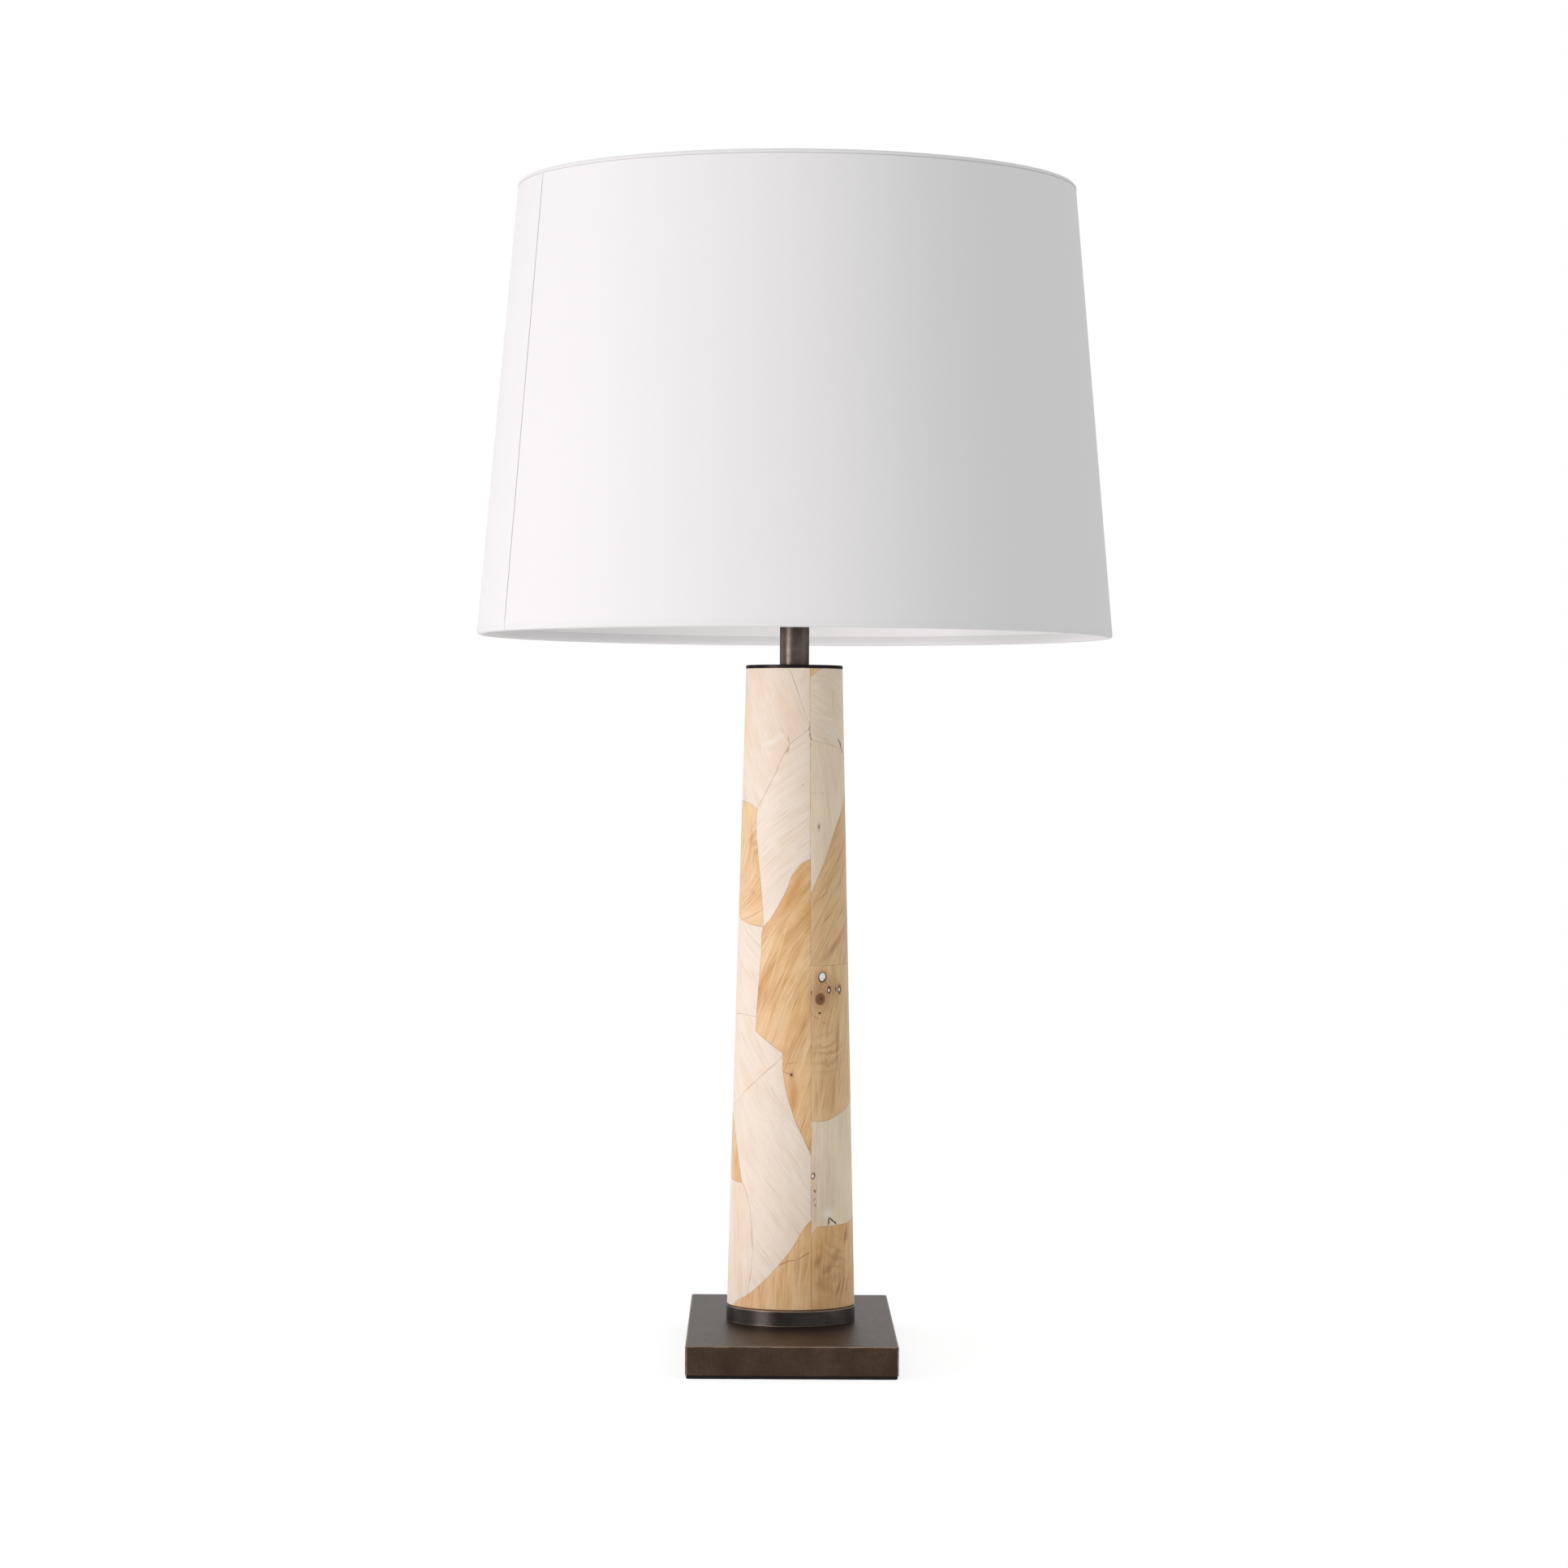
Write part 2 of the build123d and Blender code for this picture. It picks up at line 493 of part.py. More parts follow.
def make_finial():
    """Turned finial that screws on the stud and holds the shade down."""
    hole, hole_top = stud_radius + RUNNING_GAP, stud_top + SEAT_GAP
    neck, foot = finial_neck_radius, finial_neck_radius + FINIAL_FOOT_RIM
    foot_top = finial_foot + FINIAL_FOOT_HEIGHT
    sides = Polyline((0, finial_top), (0, hole_top), (hole, hole_top), (hole, finial_foot),
                     (foot, finial_foot), (foot, foot_top), (neck, foot_top), (neck, finial_ball_foot))
    ball = ThreePointArc((neck, finial_ball_foot), (finial_ball_radius, finial_ball_centre), (0, finial_top))
    return revolve(Plane.XZ * make_face(sides.edges() + ball.edges()), Axis.Z)


def make_holder_cap():
    """Cup of the lampholder, screwed on the pipe's top end."""
    outer, inner = holder_cap_radius, holder_cap_radius - HOLDER_CAP_WALL
    hub = thread_hole + HOLDER_HUB_WALL
    return turned((thread_hole, saddle_top), (outer, saddle_top), (outer, holder_cap_top),
                  (inner, holder_cap_top), (inner, holder_floor), (hub, holder_floor), (hub, holder_hub_top),
                  (thread_hole, holder_hub_top))


def towards_viewer(shape, distance):
    """Places a shape that was drawn along +Z at the switch, pointing at -Y from that distance."""
    return Plane((0, -distance, switch_height), x_dir=(1, 0, 0), z_dir=(0, -1, 0)) * shape


def make_holder_tube(radius, wall, top):
    """Tube of the lampholder standing in the cup, with the hole for the switch."""
    tube = ring(radius, radius - wall, holder_floor, top)
    return tube - towards_viewer(extrude(Circle(SWITCH_HOLE_DIAMETER / 2), holder_cap_radius), 0)


def make_holder_body():
    """Moulded insulating body of the lampholder, with the switch bore and the terminal pockets."""
    body = Pos(0, 0, holder_hub_top) * extrude(Circle(holder_body_radius), HOLDER_BODY_HEIGHT)
    bore = extrude(Circle(switch_shaft_radius + RUNNING_GAP), holder_cap_radius)
    body -= towards_viewer(bore, SWITCH_SHAFT_INNER_END - SEAT_GAP)
    for pocket in terminal_pair(TERMINAL_HEAD_DIAMETER / 2 + SLIP_GAP, holder_body_radius):
        body -= pocket
    return body


def terminal_pair(radius, length):
    """Two round bars that point left and right from the seats of the wiring screws."""
    seat = math.sqrt(holder_body_radius ** 2 - TERMINAL_HEAD_DIAMETER ** 2 / 4) - TERMINAL_HEAD_DEPTH
    bars = []
    for side in (-1, 1):
        face = Plane((side * seat, 0, switch_height), x_dir=(0, 1, 0), z_dir=(side, 0, 0))
        bars.append(face * extrude(Circle(radius), length))
    return bars


def thread_outline(crest, bottom):
    """Rising zigzag of (radius, height) points of a rolled lamp thread."""
    points = []
    for turn in range(THREAD_TURNS):
        low = bottom + turn * THREAD_PITCH
        points += [(crest - THREAD_DEPTH, low), (crest, low + THREAD_PITCH / 2)]
    return points + [(crest - THREAD_DEPTH, bottom + THREAD_TURNS * THREAD_PITCH)]


def make_screw_shell():
    """Threaded brass shell that stands on the lampholder's body and takes the bulb."""
    inside = thread_outline(screw_shell_radius, bulb_thread_bottom)
    outside = [(radius + SCREW_SHELL_WALL, height) for radius, height in reversed(inside)]
    low = inside[0][0]
    return turned((low, holder_body_top), *inside, *outside, (low + SCREW_SHELL_WALL, holder_body_top))


def make_bulb_cap():
    """Threaded cap of the bulb, hollow above its insulator."""
    outside = thread_outline(bulb_cap_radius, bulb_thread_bottom)
    inner = bulb_cap_radius - THREAD_DEPTH - BULB_CAP_WALL
    return turned((inner, bulb_thread_bottom), *outside, (inner, bulb_cap_top))


def make_bulb_insulator():
    """Glassy insulator between the bulb's cap and its tip."""
    low = bulb_bottom + BULB_TIP_HEIGHT
    return turned((0, low), (BULB_TIP_DIAMETER / 2, low),
                  (bulb_cap_radius - THREAD_DEPTH, bulb_thread_bottom), (0, bulb_thread_bottom))


def bulb_form(shrink):
    """Solid form of the bulb's glass, drawn in on every side: neck, tangent cone and globe."""
    neck = BULB_NECK_DIAMETER / 2 - shrink
    globe = BULB_GLOBE_DIAMETER / 2 - shrink
    neck_top = holder_top + BULB_NECK_HEIGHT
    centre = bulb_cap_top + BULB_GLOBE_RISE
    reach = math.hypot(neck, centre - neck_top)
    tangent = math.atan2(neck, centre - neck_top) + math.acos(globe / reach)
    touch = (globe * math.sin(tangent), centre - globe * math.cos(tangent))
    outline = [Line((0, bulb_cap_top), (neck, bulb_cap_top)), Line((neck, bulb_cap_top), (neck, neck_top)),
               Line((neck, neck_top), touch), ThreePointArc(touch, (globe, centre), (0, centre + globe)),
               Line((0, centre + globe), (0, bulb_cap_top))]
    return revolve(Plane.XZ * make_face(outline), Axis.Z)


def make_parts():
    """Every node's solid, or list of separate solids, by name."""
    path = harp_path()
    veneer = lay_veneer()
    column_nut_reach = (neck_bore - COLUMN_NUT_GAP) * math.cos(math.pi / 6)
    fabric = shade_sheet(0, FABRIC_THICKNESS)
    liner = shade_sheet(-FABRIC_THICKNESS, LINER_THICKNESS)
    bottom_ring = make_shade_ring(ring_along)
    top_ring = make_shade_ring(shade_slope - ring_along)
    spider = make_spider(top_ring)
    tip = extrude(Circle(BULB_TIP_DIAMETER / 2), BULB_TIP_HEIGHT)
    knob_start = holder_cap_radius + SWITCH_KNOB_STANDOFF
    shaft_length = knob_start + SWITCH_KNOB_LENGTH / 2 - SWITCH_SHAFT_INNER_END
    knob = extrude(Circle(SWITCH_KNOB_DIAMETER / 2), SWITCH_KNOB_LENGTH)
    knob -= extrude(Circle(switch_shaft_radius + THREAD_GAP), SWITCH_KNOB_LENGTH / 2 + SEAT_GAP)
    return {
        "felt_pad": make_felt(),
        "base_plate": make_base(),
        "cord_grommet": make_grommet(),
        "base_flat_washer": ring(NUT_POCKET_DIAMETER / 2 - FLAT_WASHER_GAP, pipe_hole, flat_washer_bottom,
                                 pocket_roof),
        "base_lock_washer": make_lock_washer(),
        "base_nut": hex_nut(pipe_radius + BASE_NUT_WALL, base_nut_bottom, BASE_NUT_THICKNESS),
        "base_collar": make_collar(),
        "column_core": make_core(),
        "veneer_pale_pieces": veneer["pale"],
        "veneer_honey_pieces": veneer["honey"],
        "column_top_cap": make_cap(),
        "column_nut": hex_nut(column_nut_reach, cap_top, COLUMN_NUT_THICKNESS),
        "threaded_pipe": ring(pipe_radius, PIPE_BORE / 2, pipe_bottom, pipe_top),
        "neck_tube": ring(NECK_DIAMETER / 2, neck_bore, cap_top, neck_top),
        "harp_saddle": make_saddle(),
        "harp_wire": make_harp(path),
        "harp_top_hub": make_hub(path),
        "harp_sleeve_left": make_sleeve(-1),
        "harp_sleeve_right": make_sleeve(1),
        "holder_cap": make_holder_cap(),
        "holder_shell": make_holder_tube(holder_shell_radius, HOLDER_SHELL_WALL, holder_top),
        "holder_insulating_sleeve": make_holder_tube(insulator_radius, INSULATOR_WALL,
                                                     holder_top - INSULATOR_SHORTER),
        "holder_body": make_holder_body(),
        "holder_screw_shell": make_screw_shell(),
        "holder_centre_contact": Pos(0, 0, holder_body_top) * extrude(Circle(CONTACT_DIAMETER / 2),
                                                                      CONTACT_THICKNESS),
        "terminal_screws": terminal_pair(TERMINAL_HEAD_DIAMETER / 2, TERMINAL_HEAD_DEPTH),
        "switch_shaft": towards_viewer(extrude(Circle(switch_shaft_radius), shaft_length),
                                       SWITCH_SHAFT_INNER_END),
        "switch_knob": towards_viewer(knob, knob_start),
        "bulb_tip_contact": Pos(0, 0, bulb_bottom) * tip,
        "bulb_insulator": make_bulb_insulator(),
        "bulb_screw_cap": make_bulb_cap(),
        "bulb_globe": bulb_form(0) - bulb_form(BULB_GLASS_WALL),
        "shade_fabric": fabric,
        "shade_liner": liner,
        "shade_bottom_ring": bottom_ring,
        "shade_top_ring": top_ring,
        "shade_bottom_hem": make_hem(0, 1, [fabric, liner, bottom_ring]),
        "shade_top_hem": make_hem(shade_slope, -1, [fabric, liner, top_ring, spider]),
        "shade_spider": spider,
        "finial": make_finial(),
    }


def main():
    """Builds every piece and writes one file for each node."""
    os.makedirs("parts", exist_ok=True)
    for name, shape in make_parts().items():
        solids = shape if isinstance(shape, list) else shape.solids()
        export_step(Compound(children=list(solids)), f"parts/{name}.step")


main()
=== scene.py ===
import math
import random

import bpy
from mathutils import Matrix, Vector, kdtree, noise
from mathutils.geometry import delaunay_2d_cdt


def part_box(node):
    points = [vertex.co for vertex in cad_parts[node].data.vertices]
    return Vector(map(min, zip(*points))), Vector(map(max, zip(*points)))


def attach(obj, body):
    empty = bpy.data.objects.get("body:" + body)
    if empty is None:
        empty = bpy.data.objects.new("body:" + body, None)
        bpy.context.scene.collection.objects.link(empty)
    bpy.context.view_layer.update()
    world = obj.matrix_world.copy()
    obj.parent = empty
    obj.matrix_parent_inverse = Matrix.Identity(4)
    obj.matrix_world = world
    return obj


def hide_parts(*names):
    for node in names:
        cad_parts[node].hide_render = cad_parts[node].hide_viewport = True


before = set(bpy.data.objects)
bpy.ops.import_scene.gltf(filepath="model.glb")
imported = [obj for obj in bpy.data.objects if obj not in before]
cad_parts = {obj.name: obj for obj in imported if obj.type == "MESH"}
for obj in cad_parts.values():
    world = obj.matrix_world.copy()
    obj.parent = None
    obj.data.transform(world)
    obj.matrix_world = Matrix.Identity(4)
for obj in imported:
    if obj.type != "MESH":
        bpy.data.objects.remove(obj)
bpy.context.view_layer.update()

# Looks of a table lamp: a tapered column of patchwork veneer on a bronze base, under a white cloth shade.
# Metres and degrees, in the model's own frame. Angles round the column and the shade are counted from the
# viewer's side, -Y, and grow towards +X.
MM = 0.001
SAME_LEVEL = 0.01 * MM
WHITE = (1, 1, 1, 1)

# Camera, fitted to the two rims of the shade, the collar and the base in the photograph
PHOTO_SIZE = 1932
FOCAL_LENGTH_PIXELS = 5374
SENSOR_WIDTH = 36.0
CAMERA_PLACE = (-0.0232, -2.970, 0.3972)
CAMERA_TURN_RIGHT = 0.32
CAMERA_TILT_DOWN = 0.213
CAMERA_ROLL = 0.34

# Studio. Softboxes: name, angle, height of the middle, (width, height), power
SOFTBOXES = [
    ("key", -50, 0.27, (1.1, 0.46), 17.5),
    ("strip", -56, 0.74, (0.55, 0.60), 5.0),
    ("rim", -112, 0.35, (0.5, 0.7), 3.0),
]
LAMP_DISTANCE = 2.4
LAMP_COLOUR = (1.0, 0.92, 0.94)
AIM_HEIGHT = 0.45
FILL_STRENGTH = 0.71
FLOOR_RADIUS = 9.0
FLOOR_SEGMENTS = 96
FLOOR_COLOUR = (0.95, 0.95, 0.95, 1)
SHADOW_REACH = (0.25, 0.9)
SHADOW_COLOUR = (0.30, 0.30, 0.30, 1)
FLOOR_GLOW = 0.80

# Veneer
VENEER_THICKNESS = 0.9 * MM
SEAM_HALF_GAP = 0.04 * MM
SEAM_BEVEL = 0.35 * MM
SEAM_DROP = 0.05 * MM
OUTLINE_STEP = 1.5 * MM
GRID_STEP = 2.6 * MM
GRID_CLEAR = 1.1 * MM
GRID_STAGGER = 0.25
CORNER_TURN = 48
FOLDED_CORNER = 0.2
MITRE_LIMIT = 0.5
SAME_POINT = 1e-6
GRAIN_SEED = 11
GRAIN_SPREAD = 40

# A piece of veneer: tone, grain angle from the level, bend of the grain, depth and dullness of its tone,
# and outline, as points (angle, share of the column's height). Earlier pieces lie on top of later ones.
LEFT_STAVE = [
    ("pale", 62, 0, 0.10, 0, [(-11.5, 1.02), (22, 1.02), (22, 0.896)]),
    ("honey", 56, -15, -0.10, 0, [(-105, 0.795), (-60, 0.789), (-44, 0.780), (-46, 0.760), (-40, 0.690),
        (-34, 0.623), (-33, 0.596), (-38, 0.597), (-56, 0.601), (-105, 0.620)]),
    ("pale", 118, 0, 0.22, 0, [(-105, 1.02), (22, 1.02), (22, 0.918), (-7, 0.877), (-22, 0.833),
        (-44, 0.780), (-105, 0.780)]),
    ("honey", 63, 1.6, 0.10, 0, [(22, 0.704), (10, 0.697), (4, 0.688), (-2, 0.675), (-7, 0.655),
        (-14, 0.634), (-24, 0.610), (-33.5, 0.592), (-35, 0.550), (-37.5, 0.503), (-40, 0.434), (-9, 0.400),
        (-9.5, 0.378), (-7, 0.350), (-3, 0.324), (4, 0.292), (22, 0.230)]),
    ("pale", 38, 1.5, 0.0, 0, [(22, 0.930), (-50, 0.930), (-50, 0.700), (-33.3, 0.592), (22, 0.592)]),
    ("pale", 140, 0, -0.15, 0, [(-105, 0.640), (-30, 0.640), (-30, 0.456), (-40, 0.456), (-67, 0.459),
        (-105, 0.455)]),
    ("pale", 128, 0, -0.10, 0, [(-105, 0.460), (-9, 0.460), (-9.5, 0.400), (-27, 0.371), (-55, 0.336),
        (-105, 0.285)]),
    ("honey", 82, 0, 0.0, 0, [(-82, 0.302), (-69, 0.266), (-61.5, 0.232), (-54.5, 0.196), (-64, 0.196),
        (-105, 0.205), (-105, 0.298)]),
    ("honey", 86, 0, 0.15, 0, [(22, 0.147), (11, 0.127), (2, 0.101), (-9.5, 0.075), (-29, 0.040),
        (-44, 0.021), (-59.5, 0.0085), (-80, -0.02), (22, -0.02)]),
    ("pale", 95, 0, 0.15, 0, [(-105, 0.220), (-54.5, 0.196), (-45, 0.169), (-41, 0.143), (-38, 0.095),
        (-42, 0.030), (-50, -0.02), (-105, -0.02)]),
    ("pale", 124, 0.8, -0.05, 0, [(-105, 1.02), (22, 1.02), (22, -0.02), (-105, -0.02)]),
]
RIGHT_STAVE = [
    ("honey", 40, 0, 0.10, 0.3, [(15, 1.02), (54, 1.02), (18.5, 0.986), (15, 0.982)]),
    ("pale", 150, -3, 0.0, 0.4, [(15, 1.02), (142, 1.02), (142, 0.845), (75, 0.871), (15, 0.890)]),
    ("pale", 98, 0, 0.30, 0.5, [(15, 0.920), (120, 0.920), (90, 0.825), (70, 0.785), (51.5, 0.748),
        (39, 0.709), (27, 0.673), (15, 0.637)]),
    ("pale", 70, 0, 0.20, 0.4, [(108, 0.800), (142, 0.870), (142, 0.600), (125, 0.590), (112, 0.660)]),
    ("honey", 50, 2.5, 0.40, 0.42, [(15, 0.890), (142, 0.890), (142, 0.545), (60, 0.537), (15, 0.536)]),
    ("honey", 80, 0, 0.24, 0.30, [(15, 0.560), (142, 0.560), (142, 0.360), (83, 0.323), (71, 0.315),
        (52, 0.304), (35, 0.295), (15, 0.295)]),
    ("honey", 76, 0, 0.0, 0.2, [(112, 0.320), (142, 0.380), (142, 0.190), (126, 0.170), (114, 0.220)]),
    ("honey", 87, 0, 0.40, 0.05, [(15, 0.110), (18.5, 0.117), (24, 0.130), (58, 0.132), (72, 0.135),
        (84, 0.142), (105, 0.160), (142, 0.170), (142, -0.02), (15, -0.02)]),
    ("pale", 88, 0, 0.30, 0.6, [(15, 1.02), (142, 1.02), (142, -0.02), (15, -0.02)]),
]
BACK_STAVE = [
    ("honey", 42, 3, 0.0, 0.2, [(134, 1.02), (182, 1.02), (170, 0.960), (155, 0.915), (134, 0.895)]),
    ("pale", 130, 0, 0.10, 0.2, [(134, 1.02), (262, 1.02), (262, 0.800), (225, 0.815), (200, 0.800),
        (172, 0.765), (134, 0.790)]),
    ("honey", 60, -4, 0.10, 0.2, [(262, 0.830), (240, 0.800), (222, 0.740), (214, 0.660), (220, 0.585),
        (262, 0.560)]),
    ("honey", 118, 2, 0.20, 0.2, [(134, 0.630), (180, 0.600), (196, 0.560), (205, 0.470), (190, 0.400),
        (170, 0.375), (134, 0.390)]),
    ("pale", 40, 1.5, 0.0, 0.2, [(134, 0.830), (250, 0.830), (250, 0.620), (212, 0.590), (192, 0.560),
        (134, 0.560)]),
    ("honey", 80, 0, 0.05, 0.2, [(262, 0.370), (236, 0.345), (212, 0.300), (205, 0.220), (222, 0.170),
        (262, 0.160)]),
    ("pale", 142, 0, 0.15, 0.2, [(180, 0.620), (262, 0.620), (262, 0.340), (220, 0.340), (180, 0.410)]),
    ("honey", 92, 0, 0.10, 0.2, [(134, 0.100), (160, 0.120), (185, 0.090), (206, 0.045), (214, -0.02),
        (134, -0.02)]),
    ("pale", 116, 0, 0.05, 0.2, [(134, 1.02), (262, 1.02), (262, -0.02), (134, -0.02)]),
]
STAVES = [(-101.5, 18.5, LEFT_STAVE), (18.5, 138.5, RIGHT_STAVE), (138.5, 258.5, BACK_STAVE)]

# Knots that the grain flows round: (angle, share of the column's height, radius in millimetres)
KNOTS = [
    (31.7, 0.518, 4.2), (29.1, 0.482, 5.0), (39.7, 0.496, 2.4), (55.8, 0.4975, 2.8),
    (28.6, 0.7525, 2.0), (-1, 0.367, 1.8), (20.3, 0.208, 2.0),
]
KNOT_SOFTNESS = 0.3

# Marks in the wood by colour, laid on in this order: (angle, share of the column's height, half width and
# half height in millimetres, clockwise tilt, softness, strength)
MARK_RAGGED = 0.5 * MM
BARK = (0.045, 0.026, 0.018, 1)
KNOT_BROWN = (0.13, 0.050, 0.018, 1)
LIGHT_HONEY = (0.91, 0.73, 0.48, 1)
KNOT_RED = (0.075, 0.021, 0.008, 1)
RED_BROWN = (0.33, 0.145, 0.058, 1)
DEEP_HONEY = (0.57, 0.275, 0.075, 1)
CHALK = (0.86, 0.86, 0.79, 1)
FIGURE_BROWN = (0.46, 0.255, 0.120, 1)
PINK_WOOD = (0.58, 0.370, 0.285, 1)
PEACH = (0.84, 0.600, 0.410, 1)
SAND = (0.74, 0.590, 0.450, 1)
SOFT_SHADE = (0.84, 0.81, 0.77, 1)
HAIR_SHADE = (0.72, 0.64, 0.55, 1)
HONEY_MARKS = [
    (DEEP_HONEY, [(2, 0.655, 7.0, 22, 25, 0.9, 0.30), (-3, 0.642, 2.2, 15, 28, 0.9, 0.50),
        (5, 0.668, 1.5, 11, 28, 0.9, 0.40), (-18, 0.575, 1.6, 20, 26, 0.9, 0.30),
        (6, 0.560, 1.2, 24, 24, 0.9, 0.30), (-12, 0.500, 1.0, 24, 22, 0.9, 0.25),
        (10, 0.440, 2.0, 20, 14, 0.9, 0.25), (-52, 0.732, 3.0, 6.0, 20, 0.9, 0.45),
        (-44, 0.700, 2.0, 10, -8, 0.9, 0.40), (-50, 0.650, 4.0, 3.0, 30, 0.9, 0.35),
        (-60, 0.690, 2.0, 12, 24, 0.9, 0.30), (0.5, 0.338, 3.6, 17, 0, 0.9, 0.65)]),
    (LIGHT_HONEY, [(-17.2, 0.543, 0.32, 32, 16.5, 0.8, 0.60), (-9.0, 0.520, 0.28, 26, 20, 0.8, 0.45)]),
    (RED_BROWN, [(-2.2, 0.495, 0.30, 14, 32, 0.8, 0.50), (-0.6, 0.562, 0.30, 12, 24, 0.8, 0.45),
        (31.7, 0.518, 6.5, 7.0, 0, 0.9, 0.48), (30.0, 0.488, 11, 13, 0, 0.9, 0.60),
        (47, 0.503, 7.0, 9.0, 0, 0.9, 0.45)]),
    (BARK, [(31.7, 0.5184, 3.5, 3.9, 10, 0.15, 0.95)]),
    (CHALK, [(31.6, 0.5188, 2.55, 2.95, 10, 0.15, 1.0)]),
    (KNOT_BROWN, [(33.6, 0.5142, 0.8, 1.1, 20, 0.4, 0.65), (39.7, 0.4985, 2.1, 3.2, 8, 0.4, 0.90)]),
    (BARK, [(39.9, 0.4970, 1.6, 2.2, -8, 0.3, 0.75)]),
    (CHALK, [(39.6, 0.4975, 0.85, 1.25, -8, 0.3, 1.0)]),
    (KNOT_BROWN, [(56.2, 0.4985, 2.6, 4.3, 0, 0.5, 0.75)]),
    (BARK, [(55.8, 0.4980, 1.9, 2.5, 0, 0.3, 0.75)]),
    (CHALK, [(55.6, 0.4980, 0.95, 1.35, 0, 0.3, 1.0)]),
    (BARK, [(49.7, 0.4990, 0.70, 2.1, 0, 0.4, 0.90)]),
    (KNOT_BROWN, [(28.9, 0.4843, 4.1, 4.4, 12, 0.25, 0.85)]),
    (KNOT_RED, [(29.8, 0.4848, 1.1, 1.5, 0, 0.6, 0.90)]),
    (BARK, [(28.1, 0.4625, 1.25, 0.75, 0, 0.3, 1.0), (19.0, 0.4945, 0.45, 1.6, 0, 0.4, 0.85)]),
    (RED_BROWN, [(23.5, 0.4560, 4.0, 0.50, 30, 0.7, 0.60), (33.0, 0.4470, 3.0, 0.45, 24, 0.7, 0.45),
        (52, 0.632, 0.5, 9.0, 48, 0.9, 0.60), (40, 0.612, 0.6, 9.0, 48, 0.9, 0.60),
        (62, 0.620, 0.7, 9.0, 45, 0.9, 0.60), (33, 0.645, 0.5, 8.0, 50, 0.9, 0.45),
        (60, 0.664, 0.5, 10, 45, 0.9, 0.50), (72, 0.600, 0.8, 10, 45, 0.9, 0.55),
        (62, 0.710, 2.0, 22, 40, 0.95, 0.30), (42, 0.668, 1.4, 14, 44, 0.95, 0.25),
        (44, 0.560, 3.2, 16, 52, 0.95, 0.42), (58, 0.580, 2.0, 13, 46, 0.95, 0.42),
        (51, 0.415, 2.2, 21, 3, 0.95, 0.58), (44, 0.340, 2.6, 16, 2, 0.95, 0.32),
        (24, 0.330, 1.4, 15, -2, 0.95, 0.25), (-1, 0.3670, 2.2, 3.0, 0, 0.95, 0.45)]),
    (BARK, [(-1, 0.3670, 1.0, 1.1, 30, 0.5, 0.95)]),
    (RED_BROWN, [(-4.4, 0.3690, 3.0, 0.50, 24, 0.8, 0.60), (-1.5, 0.3850, 5.5, 0.40, -8, 0.8, 0.45),
        (-9, 0.0730, 6.0, 0.50, -23, 0.7, 0.80), (-0.6, 0.0785, 4.8, 0.45, -6, 0.7, 0.75),
        (11.5, 0.0860, 6.0, 0.48, -29, 0.7, 0.78), (18.5, 0.0520, 0.35, 27, 0, 0.6, 0.60)]),
    (DEEP_HONEY, [(-28, 0.018, 0.9, 8.0, 0, 0.9, 0.40), (-12, 0.020, 1.2, 10, 0, 0.9, 0.35)]),
    (RED_BROWN, [(60, 0.112, 2.0, 7.0, 14, 0.8, 0.78), (48, 0.033, 1.4, 8.0, 20, 0.9, 0.78),
        (54, 0.034, 1.2, 8.5, 18, 0.9, 0.78), (61, 0.035, 1.2, 7.5, 18, 0.9, 0.70),
        (25, 0.078, 3.0, 6.0, 24, 0.9, 0.55), (34, 0.062, 6.0, 3.0, -24, 0.9, 0.55),
        (44, 0.082, 4.0, 8.0, 30, 0.9, 0.50), (30, 0.040, 7.0, 5.0, 10, 0.9, 0.35)]),
]
